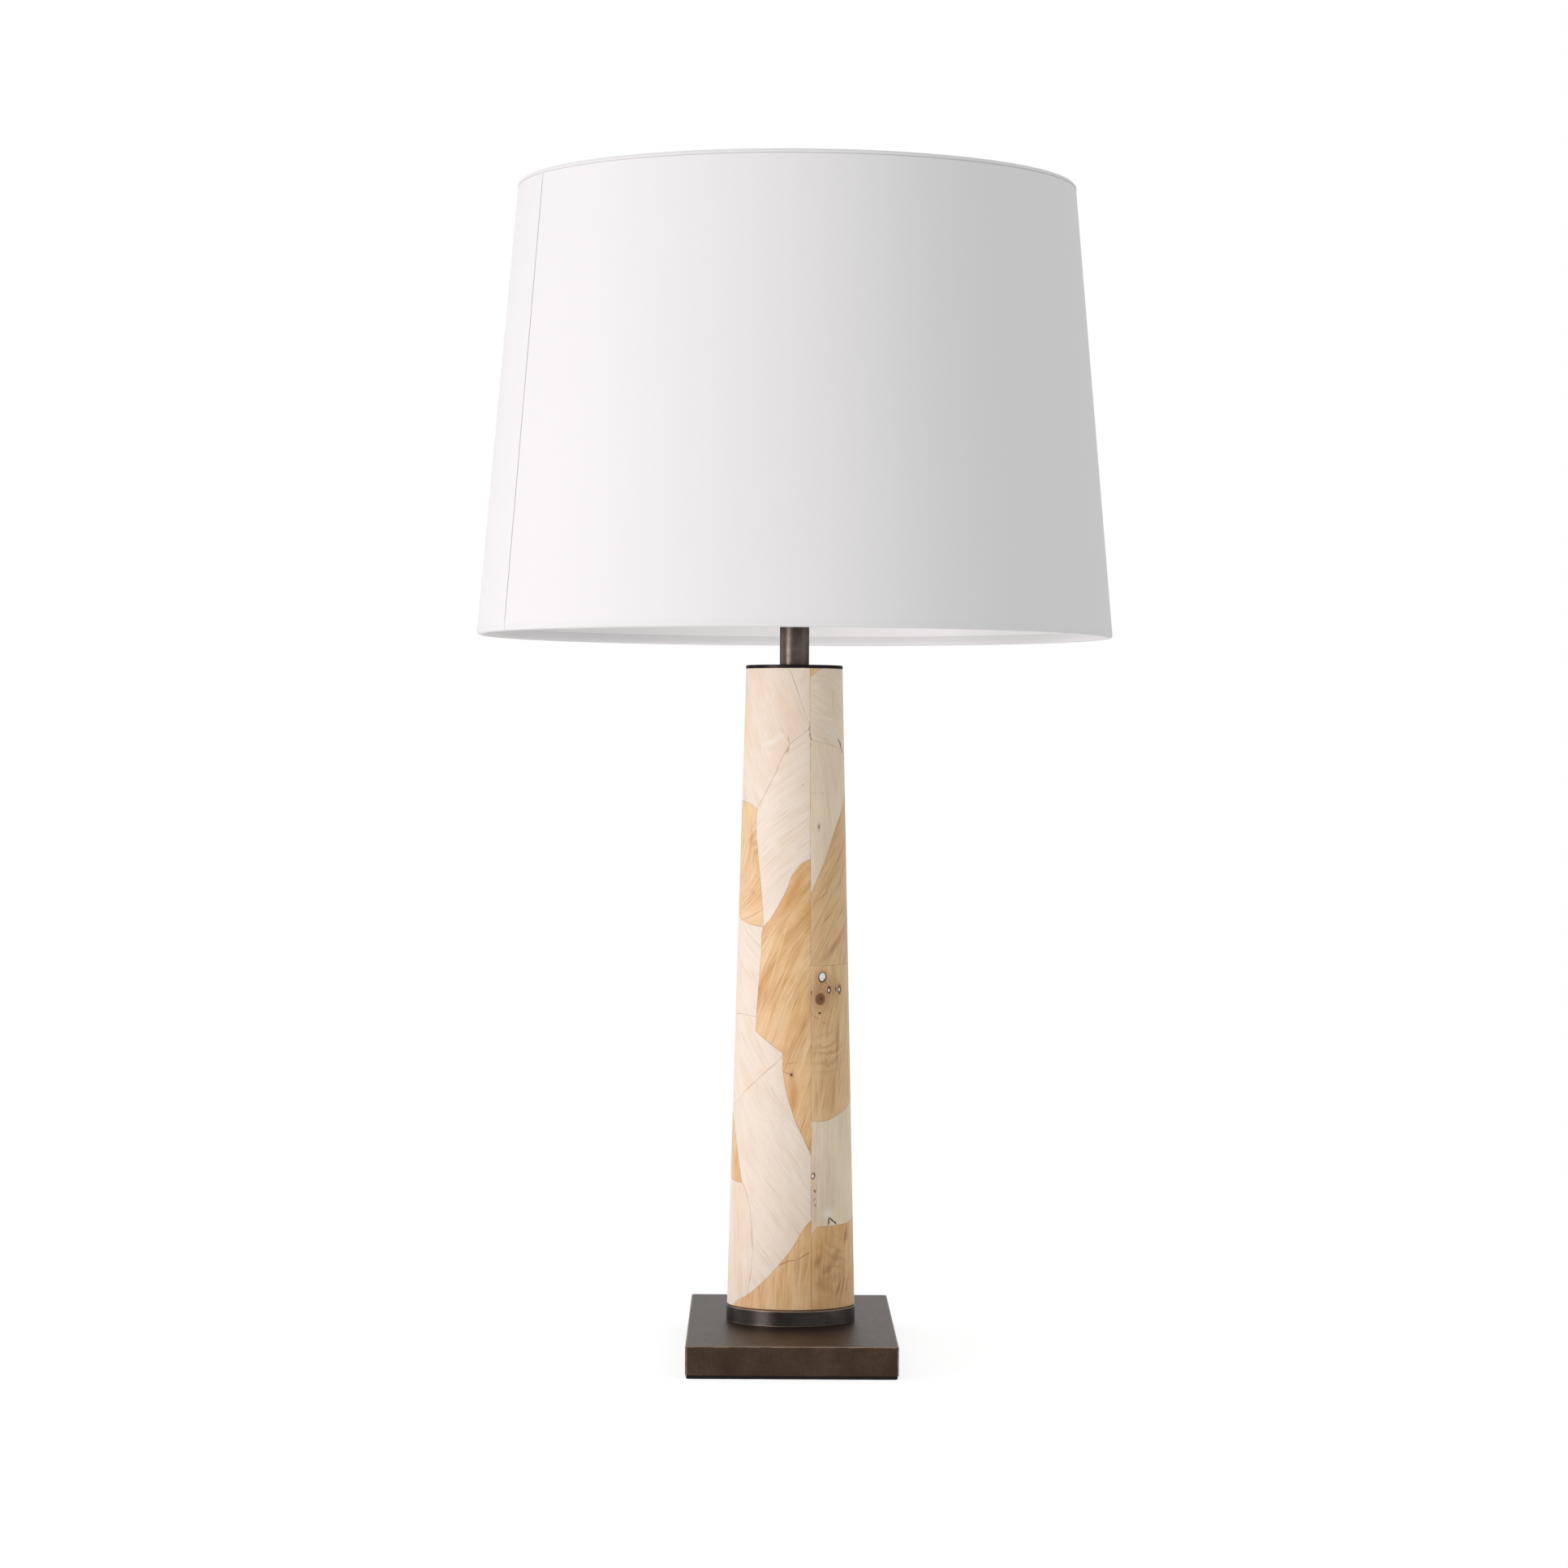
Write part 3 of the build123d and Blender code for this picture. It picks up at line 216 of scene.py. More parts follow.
PALE_MARKS = [
    (RED_BROWN, [(28.6, 0.7525, 2.2, 3.8, 0, 0.9, 0.35)]),
    (KNOT_BROWN, [(28.6, 0.7525, 0.75, 1.5, 0, 0.7, 0.75), (34, 0.806, 0.6, 1.0, 0, 0.8, 0.30),
        (9.5, 0.818, 0.8, 0.8, 0, 0.8, 0.28), (63, 0.887, 0.8, 2.4, -30, 0.6, 0.80),
        (67, 0.881, 1.2, 3.2, -20, 0.6, 0.85), (71, 0.873, 1.0, 2.8, 14, 0.6, 0.80)]),
    (RED_BROWN, [(26, 0.805, 7.0, 0.5, 4, 0.9, 0.18)]),
    (CHALK, [(-27, 0.884, 9.0, 2.4, -20, 0.95, 0.42), (-18, 0.893, 6.0, 1.8, -12, 0.95, 0.40),
        (27, 0.972, 5.0, 1.6, -33, 0.95, 0.34), (37, 0.940, 5.0, 1.2, 25, 0.95, 0.34),
        (46, 0.921, 4.0, 0.9, 20, 0.95, 0.40), (45, 0.899, 7.0, 1.6, 25, 0.95, 0.22)]),
    (RED_BROWN, [(51.6, 0.952, 0.30, 9.0, 2, 0.7, 0.45), (2.2, 0.969, 0.28, 8.5, -20, 0.7, 0.55)]),
    (PEACH, [(-32, 0.372, 9.0, 2.6, -36, 0.95, 0.45), (-50, 0.345, 6.0, 6.0, -30, 0.95, 0.35),
        (-54, 0.160, 3.6, 11, -6, 0.95, 0.40), (-60, 0.075, 4.0, 12, 0, 0.95, 0.25)]),
    (SAND, [(4, 0.775, 9.0, 1.4, -30, 0.95, 0.30), (-6, 0.742, 12, 1.0, -34, 0.95, 0.25),
        (8, 0.722, 8.0, 1.2, -30, 0.95, 0.30)]),
    (KNOT_BROWN, [(17.0, 0.905, 0.5, 2.2, 6, 0.7, 0.55), (18.0, 0.896, 0.9, 2.0, 12, 0.7, 0.50),
        (19.6, 0.890, 0.6, 1.7, -8, 0.7, 0.55), (19.2, 0.881, 0.5, 1.6, 4, 0.7, 0.45),
        (-6.4, 0.888, 0.30, 4.0, -10, 0.7, 0.50), (-7.4, 0.872, 0.70, 3.2, 22, 0.7, 0.55)]),
    (PINK_WOOD, [(20.8, 0.180, 2.4, 28, 0, 0.6, 0.35), (23.9, 0.178, 0.35, 24, 1, 0.7, 0.50)]),
    (KNOT_BROWN, [(20.3, 0.2095, 1.7, 2.6, 14, 0.4, 0.95)]),
    (CHALK, [(20.0, 0.2095, 0.85, 1.45, 14, 0.4, 1.0)]),
    (KNOT_BROWN, [(22.0, 0.1860, 1.0, 1.5, -20, 0.6, 0.75), (21.6, 0.1730, 0.55, 1.5, 20, 0.7, 0.70),
        (22.3, 0.1640, 0.55, 1.8, -15, 0.7, 0.70)]),
    (CHALK, [(37, 0.1500, 6.0, 5.0, 0, 0.95, 0.45)]),
    (BARK, [(36.6, 0.1380, 0.80, 3.3, 6, 0.5, 0.95), (40.2, 0.1402, 0.75, 3.2, -50, 0.5, 0.95),
        (44.6, 0.1352, 0.75, 2.0, -50, 0.5, 0.95)]),
    (RED_BROWN, [(-39.5, 0.110, 0.35, 8.0, 0, 0.8, 0.45)]),
    (PINK_WOOD, [(20.2, 0.272, 0.50, 10, 0, 0.7, 0.85), (22.2, 0.268, 0.45, 9.5, 0, 0.7, 0.80),
        (24.4, 0.272, 0.45, 9.0, 0, 0.7, 0.75), (26.6, 0.266, 0.40, 9.0, 0, 0.7, 0.55)]),
    (CHALK, [(21.2, 0.272, 0.35, 10, 0, 0.7, 0.60), (23.3, 0.270, 0.35, 10, 0, 0.7, 0.55),
        (25.5, 0.271, 0.35, 9.0, 0, 0.7, 0.45)]),
]

# Rings in the wood: (angle and share of their centre, pitch in millimetres, angle and share of the patch
# that shows them, its half width and half height in millimetres, strength, colour)
HONEY_FIGURES = [
    (26, 0.490, 6.0, 39, 0.400, 16, 19, 0.62, FIGURE_BROWN),
    (30, 0.488, 2.8, 33, 0.490, 14, 17, 0.50, FIGURE_BROWN),
    (-15, 0.690, 5.5, -44, 0.720, 11, 22, 0.45, FIGURE_BROWN),
    (66, 0.200, 7.0, 42, 0.070, 18, 24, 0.50, FIGURE_BROWN),
]
PALE_FIGURES = [
    (-75, 0.180, 7.0, -8, 0.270, 26, 44, 0.22, SAND),
    (-40, 0.420, 6.0, -12, 0.330, 16, 20, 0.20, SAND),
    (-20, 1.050, 8.0, -30, 0.900, 20, 40, 0.16, SAND),
    (48, 0.990, 5.0, 32, 0.940, 14, 22, 0.25, SAND),
]

# Cloth of the shade. Rows are millimetres from its bottom and its top edge.
CLOTH_THICKNESS = 0.4 * MM
CLOTH_FOOT_ROWS = [2.4, 4, 7, 11]
CLOTH_HEAD_ROWS = [11, 7, 4, 3.5, 3.3, 3.1, 2.7, 2.2, 2.0]
CLOTH_BANDS = 14
CLOTH_COLUMNS = 230
THREAD_PITCH = 0.5 * MM

# Lap of the cloth, along its arc from the lap's edge
LAP_ANGLE = -62.8
LAP_RISE = 0.42 * MM
LAP_WIDTH = 9 * MM
LAP_EASE = 26 * MM
LAP_ARCS = [0, 0.08 * MM, 0.25 * MM, 0.6 * MM, 3 * MM, LAP_WIDTH, 14 * MM, 20 * MM, LAP_EASE]
LAP_ROUNDING = 0.14 * MM
LAP_ROUND_WIDTH = 0.25 * MM
# Painted shadow line along the lap's edge: where it starts, and where it is full before the edge
LAP_SHADOW_LINE = (0.45 * MM, 0.3 * MM)
LAP_CLEAR = 3 * MM

# Hems. Sections are (in from the shade's edge, out from its face) in millimetres.
HEM_BOTTOM_EDGE = [(5.6, 0.02), (4.6, 0.05), (3.6, 0.08), (2.8, 0.08), (2.1, 0.05), (1.5, -0.03),
                   (0.98, -0.15)]
HEM_TOP_EDGE = [(2.6, 0.03), (2.6, 0.26), (2.4, 0.32), (2.0, 0.27), (1.5, 0.12), (1.0, -0.10)]
HEM_ROLL = [(0.66, -0.29), (0.42, -0.51), (0.2, -0.92), (0.07, -1.5)]
HEM_INSIDE = [(4.3, -3.1), (5.0, -2.2), (5.6, -1.72), (6.2, -1.5), (6.5, -1.27), (6.4, -1.03), (5.6, -1.03),
              (4.75, -1.45), (4.1, -2.1)]
HEM_BACK = [(0.5, -2.0), (0.62, -1.5), (0.92, -1.0), (1.35, -0.58), (1.85, -0.22), (2.3, 0.0)]
RING_ALONG = 2.0
RING_OUT = -2.56
RING_WIRE = 1.53
RING_WRAP = 1.99
RING_STEPS = 9
WRAP_TURN = 110
WIRE_TURN = 135
HEM_SEGMENTS = 240
HEM_WAVE = 0.05 * MM
HEM_WAVE_RATES = (40, 300)
HEM_WAVE_EASE = (-0.1 * MM, 1 * MM)
HEM_OUTER_FACE = (-2 * MM, -1 * MM)
# Painted shade on the outside of the bottom hem's roll: how far up it reaches, and how softly it ends
HEM_FOLD_SHADE_REACH = 5.2 * MM
HEM_FOLD_SHADE_EASE = 1.4 * MM
# Painted shadow line of the lap across the bottom hem: (turn, darkness)
HEM_LAP_SHADOW = [(0, 0), (0.02, 1), (0.12, 1), (0.16, 0)]
# The top hem's shadow on the cloth, and how the hems press the lap flat near them
HEM_SHADOW_DARKNESS = 0.66
HEM_SHADOW_PLACES = (3.5 * MM, 3.1 * MM)
PRESSED_SHARE = 0.1
PRESSED_REACH = (3 * MM, 9 * MM)

# Base and felt. The felt's profile is (inset in millimetres, share of its thickness).
CORNER_EASE = 0.2 * MM
FELT_STEP = 2.5 * MM
FELT_CORNER = 2 * MM
FELT_CORNER_STEPS = 4
FELT_PROFILE = [(1.2, 0), (0.35, 0.03), (0.05, 0.2), (0, 0.5), (0.05, 0.8), (0.35, 0.97), (1.2, 1)]
FELT_RAGGED = 0.35 * MM
FELT_RAGGED_RATE = 160

# Switch knob: its profile is (share of its radius, share of its length, share of the flutes' depth)
KNOB_PROFILE = [(0.80, 0.0, 0), (0.93, 0.03, 0.4), (1.0, 0.09, 1), (1.0, 0.88, 1), (0.96, 0.95, 0.7),
                (0.84, 0.985, 0.2), (0.6, 1.0, 0)]
KNOB_DISH = 0.99
KNOB_FLUTES = 18
KNOB_FLUTE_STEPS = 8
KNOB_FLUTE_DEPTH = 0.55 * MM


# Node trees, meshes and measures
class Nodes:
    """A node tree, with short calls for the nodes that the finishes share."""

    def __init__(self, tree):
        self.tree = tree

    def feed(self, socket, value):
        """Links a socket to another, or sets its constant."""
        if isinstance(value, bpy.types.NodeSocket):
            self.tree.links.new(value, socket)
        else:
            socket.default_value = value

    def add(self, kind, inputs, **settings):
        """New node of a kind, with its settings and its inputs by name or place."""
        node = self.tree.nodes.new(kind)
        for name, value in settings.items():
            setattr(node, name, value)
        for name, value in inputs.items():
            self.feed(node.inputs[name], value)
        return node

    def vector(self, operation, first, second):
        node = self.add("ShaderNodeVectorMath", {0: first, 1: second}, operation=operation)
        return node.outputs["Value" if operation in ("LENGTH", "DISTANCE") else "Vector"]

    def parts(self, vector):
        return self.add("ShaderNodeSeparateXYZ", {0: vector}).outputs

    def math(self, operation, first, second=0.0):
        return self.add("ShaderNodeMath", {0: first, 1: second}, operation=operation).outputs[0]

    def seen(self):
        """1 for a ray that shows a thing to the eye, in a reflection or through glass."""
        path = self.add("ShaderNodeLightPath", {}).outputs
        mirrored = self.math("MAXIMUM", path["Is Glossy Ray"], path["Is Transmission Ray"])
        return self.math("MAXIMUM", path["Is Camera Ray"], mirrored)

    def noise(self, vector, scale, detail=3.0, roughness=0.5):
        """Noise with its own scale along each axis, as a value about 0.5."""
        scaled = self.vector("MULTIPLY", vector, scale)
        inputs = {"Vector": scaled, "Scale": 1.0, "Detail": detail, "Roughness": roughness}
        return self.add("ShaderNodeTexNoise", inputs).outputs["Fac"]

    def wander(self, vector, place, scale, detail, reach):
        """Vector moved by a noise, up to a reach along each axis."""
        shift = self.add("ShaderNodeTexNoise", {"Vector": place, "Scale": scale, "Detail": detail})
        inputs = {0: shift.outputs["Color"], 1: reach, 2: vector}
        return self.add("ShaderNodeVectorMath", inputs, operation="MULTIPLY_ADD").outputs["Vector"]

    def span(self, value, low, high, start=0.0, end=1.0):
        """Value between two limits, eased from start to end."""
        inputs = {"Value": value, "From Min": low, "From Max": high, "To Min": start, "To Max": end}
        return self.add("ShaderNodeMapRange", inputs, interpolation_type="SMOOTHSTEP").outputs[0]

    def ramp(self, factor, *stops):
        """Colours by (place, colour) along a factor."""
        node = self.add("ShaderNodeValToRGB", {"Fac": factor})
        elements = node.color_ramp.elements
        while len(elements) < len(stops):
            elements.new(0.5)
        for element, (place, colour) in zip(elements, stops):
            element.position = place
            element.color = colour
        return node.outputs["Color"]

    def mix(self, factor, first, second, blend="MIX"):
        inputs = {0: factor, 6: first, 7: second}
        return self.add("ShaderNodeMix", inputs, data_type="RGBA", blend_type=blend).outputs[2]

    def darken(self, amount, colour, value, low, high, tint):
        """Colour with a tint where a value is low, and as it was where it is high."""
        return self.mix(amount, colour, self.ramp(value, (low, tint), (high, WHITE)), "MULTIPLY")

    def bump(self, height, strength, distance, below=None):
        """Bump of a height, on top of an earlier bump if one is given."""
        inputs = {"Height": height, "Strength": strength, "Distance": distance}
        if below is not None:
            inputs["Normal"] = below
        return self.add("ShaderNodeBump", inputs).outputs["Normal"]


class Shader(Nodes):
    """A new material's node tree and its surface."""

    def __init__(self, name, constants):
        self.material = bpy.data.materials.new(name)
        self.material.use_nodes = True
        super().__init__(self.material.node_tree)
        self.surface = self.tree.nodes["Principled BSDF"]
        for socket, value in constants.items():
            self.surface.inputs[socket].default_value = value

    def set(self, **sockets):
        """Feeds sockets of the surface, with _ for a space in their names."""
        for name, value in sockets.items():
            self.feed(self.surface.inputs[name.replace("_", " ")], value)

    def attribute(self, name):
        return self.add("ShaderNodeAttribute", {}, attribute_name=name).outputs["Vector"]

    def place(self):
        return self.add("ShaderNodeTexCoord", {}).outputs["Object"]


class Draft:
    """Vertices, faces and named vertex vectors of a mesh in the making."""

    def __init__(self, *attributes):
        self.points = []
        self.faces = []
        self.attributes = {name: [] for name in attributes}

    def point(self, spot, **values):
        self.points.append(spot)
        for name, value in values.items():
            self.attributes[name].append(value)
        return len(self.points) - 1

    def strip(self, first, second, closed=False):
        """Quads between two rows of vertices."""
        count = len(first)
        for i in range(count if closed else count - 1):
            j = (i + 1) % count
            self.faces.append((first[i], first[j], second[j], second[i]))

    def tube(self, rings):
        """Quads between closed rings that follow each other."""
        for first, second in zip(rings, rings[1:]):
            self.strip(first, second, closed=True)

    def mesh(self, name, material):
        """Mesh of this draft with one material."""
        mesh = bpy.data.meshes.new(name)
        mesh.from_pydata(self.points, [], self.faces)
        mesh.update()
        for attribute, values in self.attributes.items():
            layer = mesh.attributes.new(attribute, "FLOAT_VECTOR", "POINT")
            layer.data.foreach_set("vector", [number for value in values for number in value])
        mesh.materials.append(material)
        return mesh

    def build(self, name, material, body, sharp=40):
        """Object with this mesh, smooth up to a sharp angle, on a body of the frame."""
        mesh = self.mesh(name, material)
        mesh.shade_smooth()
        mesh.set_sharp_from_angle(angle=math.radians(sharp))
        piece = add_object(name, mesh)
        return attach(piece, body)


def add_object(name, data):
    """New object in the scene."""
    item = bpy.data.objects.new(name, data)
    bpy.context.scene.collection.objects.link(item)
    return item


def rim_radius(node, height):
    """Widest radius of a node's vertices at one height."""
    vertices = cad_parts[node].data.vertices
    return max(math.hypot(v.co.x, v.co.y) for v in vertices if abs(v.co.z - height) < SAME_LEVEL)


def ease(value, low, high):
    """0 up to low, 1 from high on, and a smooth rise between."""
    share = min(1.0, max(0.0, (value - low) / (high - low)))
    return share * share * (3 - 2 * share)


def round_place(angle, radius, height):
    """Point at an angle from the viewer's side, positive towards +X."""
    turn = math.radians(angle)
    return radius * math.sin(turn), -radius * math.cos(turn), height


# Measures of the column and the shade, from the frame
core_low, core_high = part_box("column_core")
column_foot, column_head = core_low.z, core_high.z
column_height = column_head - column_foot
skin_nodes = ("veneer_pale_pieces", "veneer_honey_pieces")
skin_foot = min(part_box(node)[0].z for node in skin_nodes)
skin_foot_radius = max(rim_radius(node, skin_foot) for node in skin_nodes)
skin_head_radius = rim_radius("veneer_pale_pieces", column_head)
skin_foot_share = (skin_foot - column_foot) / column_height
middle_radius = (skin_foot_radius + skin_head_radius) / 2
cloth_low, cloth_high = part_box("shade_fabric")
cloth_foot = Vector((cloth_high.x, cloth_low.z))
cloth_head = Vector((rim_radius("shade_fabric", cloth_high.z), cloth_high.z))
shade_up = (cloth_head - cloth_foot).normalized()
shade_out = Vector((shade_up.y, -shade_up.x))
shade_foot = cloth_foot + shade_up * (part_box("shade_bottom_hem")[0].z - cloth_low.z) / shade_up.y
shade_head = cloth_head + shade_up * (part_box("shade_top_hem")[1].z - cloth_high.z) / shade_up.y
shade_slope = (shade_head - shade_foot).length


# Column
def column_radius(share):
    """Radius of the veneered column at a share of its height."""
    rise = (share - skin_foot_share) / (1 - skin_foot_share)
    return skin_foot_radius + rise * (skin_head_radius - skin_foot_radius)


def unrolled(angle, share):
    """Point of the column's skin laid flat."""
    return Vector((math.radians(angle) * middle_radius, share * column_height))


def on_column(flat, depth):
    """Point of the column under a point of its unrolled skin."""
    radius = column_radius(flat.y / column_height) - depth
    return round_place(math.degrees(flat.x / middle_radius), radius, column_foot + flat.y)


def true_place(flat):
    """(arc, height) on the column's real surface of a point of its unrolled skin."""
    return flat.x / middle_radius * column_radius(flat.y / column_height), flat.y, 0.0


def smooth_outline(points):
    """Closed outline with curves through its gentle points, and its sharp corners kept."""
    flat = [unrolled(*point) for point in points]
    count = len(flat)
    sides = [flat[(i + 1) % count] - flat[i] for i in range(count)]
    sharp = [abs(math.degrees(sides[i - 1].angle_signed(sides[i]))) > CORNER_TURN for i in range(count)]
    outline = []
    for i in range(count):
        start, end = flat[i], flat[(i + 1) % count]
        before = start - sides[i] if sharp[i] else flat[i - 1]
        after = end + sides[i] if sharp[(i + 1) % count] else flat[(i + 2) % count]
        steps = max(1, round(sides[i].length / OUTLINE_STEP))
        for step in range(steps):
            outline.append(curve_point(before, start, end, after, step / steps))
    return outline


def curve_point(before, start, end, after, share):
    """Point of the Catmull-Rom curve between start and end, with tangents no longer than the span."""
    span = (end - start).length
    leave = (end - before).normalized() * span
    arrive = (after - start).normalized() * span
    square, cube = share ** 2, share ** 3
    return (start * (2 * cube - 3 * square + 1) + leave * (cube - 2 * square + share)
            + end * (3 * square - 2 * cube) + arrive * (cube - square))


def signed_area(outline):
    """Area inside a flat outline, positive where it runs anticlockwise."""
    return sum(a.x * b.y - b.x * a.y for a, b in zip(outline, outline[1:] + outline[:1])) / 2


def stepped(corners, length):
    """Closed outline through some corners, in steps of about a length."""
    outline = []
    for start, end in zip(corners, corners[1:] + corners[:1]):
        steps = max(1, round((end - start).length / length))
        outline += [start + (end - start) * step / steps for step in range(steps)]
    return outline


def grid_points(low, high, outline_points):
    """Staggered points between two corners of a stave, clear of its pieces' outlines."""
    near = kdtree.KDTree(len(outline_points))
    for index, point in enumerate(outline_points):
        near.insert((point.x, point.y, 0), index)
    near.balance()
    width, height = high.x - low.x, high.y - low.y
    columns, rows = round(width / GRID_STEP), round(height / GRID_STEP)
    grid = []
    for row in range(1, rows):
        stagger = GRID_STAGGER if row % 2 else -GRID_STAGGER
        for column in range(1, columns):
            point = Vector((low.x + width * (column + stagger) / columns, low.y + height * row / rows))
            if near.find((point.x, point.y, 0))[2] > GRID_CLEAR:
                grid.append(point)
    return grid


def cut_stave(start, end, pieces):
    """Flat points of one stave, and its triangles by the number of the piece that covers them."""
    low, high = unrolled(start, skin_foot_share), unrolled(end, 1)
    corners = [low, Vector((high.x, low.y)), high, Vector((low.x, high.y))]
    outlines = [stepped(corners, OUTLINE_STEP)] + [smooth_outline(piece[-1]) for piece in pieces]
    points, faces = [], []
    for outline in outlines:
        faces.append(list(range(len(points), len(points) + len(outline))))
        points += outline if signed_area(outline) > 0 else outline[::-1]
    points += grid_points(low, high, points)
    flat, _, triangles, _, _, owners = delaunay_2d_cdt(points, [], faces, 1, SAME_POINT)
    covered = {}
    for triangle, owner in zip(triangles, owners):
        above = [number for number in owner if number > 0]
        if 0 in owner and above:
            covered.setdefault(min(above) - 1, []).append(triangle)
    return flat, covered


def rim_directions(flat, triangles):
    """Inward direction at each vertex on the rim of some triangles, and the rim's directed edges."""
    edges = {(t[i], t[(i + 1) % 3]) for t in triangles for i in range(3)}
    rim = [edge for edge in edges if edge[::-1] not in edges]
    inward = {}
    for a, b in rim:
        side = (flat[b] - flat[a]).normalized()
        across = Vector((-side.y, side.x))
        for corner in (a, b):
            inward.setdefault(corner, []).append(across)
    directions = {}
    for corner, sides in inward.items():
        total = sum(sides, Vector((0, 0)))
        if total.length < FOLDED_CORNER:
            total = sides[0]
        mitre = max(MITRE_LIMIT, total.normalized().dot(sides[0]))
        directions[corner] = total.normalized() / mitre
    return directions, sorted(rim)


def grain_place(flat, centre, angle, bend, seed):
    """(along, across, seed) of a point in a piece's grain, which bends and flows round the knots."""
    turn = math.radians(angle)
    lengthwise = Vector((math.cos(turn), math.sin(turn)))
    crosswise = Vector((-math.sin(turn), math.cos(turn)))
    along, across = (flat - centre).dot(lengthwise), (flat - centre).dot(crosswise)
    across += bend * along ** 2
    for knot_angle, knot_share, radius in KNOTS:
        away = flat - unrolled(knot_angle, knot_share)
        square = (radius * MM) ** 2
        across -= away.dot(crosswise) * square / (away.length_squared + KNOT_SOFTNESS * square)
    return along, across, seed


def lay_piece(draft, flat, triangles, angle, bend, depth, dull, seed):
    """Adds one closed piece of veneer, with eased edges and a hairline gap round it."""
    directions, rim = rim_directions(flat, triangles)
    used = sorted({corner for triangle in triangles for corner in triangle})
    centre = sum((flat[corner] for corner in used), Vector((0, 0))) / len(used)

    def vertex(corner, inset, below, seam):
        spot = flat[corner] + directions.get(corner, Vector((0, 0))) * inset
        return draft.point(on_column(spot, below), place=true_place(spot), look=(depth, seam, dull),
                           grain=grain_place(spot, centre, angle, bend, seed))

    face = {corner: vertex(corner, SEAM_BEVEL, 0, 0) for corner in used}
    back = {corner: vertex(corner, SEAM_HALF_GAP, VENEER_THICKNESS, 0) for corner in used}
    edge = {corner: vertex(corner, SEAM_HALF_GAP, SEAM_DROP, 1) for corner in directions}
    for a, b, c in triangles:
        draft.faces.append((face[a], face[b], face[c]))
        draft.faces.append((back[c], back[b], back[a]))
    for a, b in rim:
        draft.faces.append((face[b], face[a], edge[a], edge[b]))
        draft.faces.append((edge[b], edge[a], back[a], back[b]))


def make_column():
    """The veneer of the column, as one object for each tone."""
    seeds = random.Random(GRAIN_SEED)
    drafts = {tone: Draft("place", "grain", "look") for tone in ("pale", "honey")}
    for start, end, pieces in STAVES:
        flat, covered = cut_stave(start, end, pieces)
        for number, triangles in sorted(covered.items()):
            tone, angle, bend, depth, dull, _ = pieces[number]
            seed = seeds.uniform(0, GRAIN_SPREAD)
            lay_piece(drafts[tone], flat, triangles, angle, bend, depth, dull, seed)
    finishes = {"pale": pale_veneer(), "honey": honey_veneer()}
    for tone, draft in drafts.items():
        column = draft.build(f"veneer_{tone}", finishes[tone], "stand")
        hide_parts(f"veneer_{tone}_pieces")


def wood_marks(shader, colour, marks):
    """Knots, bark and stains laid on a wood colour, each at its own spot on the column."""
    place = shader.attribute("place")
    ragged = shader.wander(place, place, 1100.0, 2.0, (MARK_RAGGED, MARK_RAGGED, 0))
    for stain, spots in marks:
        for spot in spots:
            colour = shader.mix(spot_cover(shader, ragged, *spot), colour, stain)
    return colour


def spot_cover(shader, place, angle, share, width, height, tilt, softness, strength):
    """Strength inside an ellipse on the column, falling to 0 outside it."""
    arc, level, _ = true_place(unrolled(angle, share))
    inputs = {
        "Vector": place,
        "Location": (arc + MARK_RAGGED / 2, level + MARK_RAGGED / 2, 0),
        "Rotation": (0, 0, -math.radians(tilt)),
        "Scale": (width * MM, height * MM, 1),
    }
    spot = shader.add("ShaderNodeMapping", inputs, vector_type="TEXTURE").outputs["Vector"]
    distance = shader.vector("LENGTH", spot, (0, 0, 0))
    return shader.span(distance, 1 - softness, 1 + 0.3 * softness, strength, 0)


def wood_figure(shader, colour, figures):
    """Soft rings round a centre, such as a knot, shown inside an ellipse."""
    place = shader.attribute("place")
    wander = shader.math("MULTIPLY", shader.noise(place, (60, 60, 1), 5.0, 0.6), 20.0)
    for ring_angle, ring_share, pitch, angle, share, width, height, strength, stain in figures:
        centre = true_place(unrolled(ring_angle, ring_share))
        distance = shader.vector("DISTANCE", place, centre)
        turns = shader.math("MULTIPLY", distance, 2 * math.pi / (pitch * MM))
        rings = shader.span(shader.math("SINE", shader.math("ADD", turns, wander)), -0.5, 1.0)
        cover = spot_cover(shader, place, angle, share, width, height, 0, 0.9, strength)
        colour = shader.mix(shader.math("MULTIPLY", cover, rings), colour, stain)
    return colour


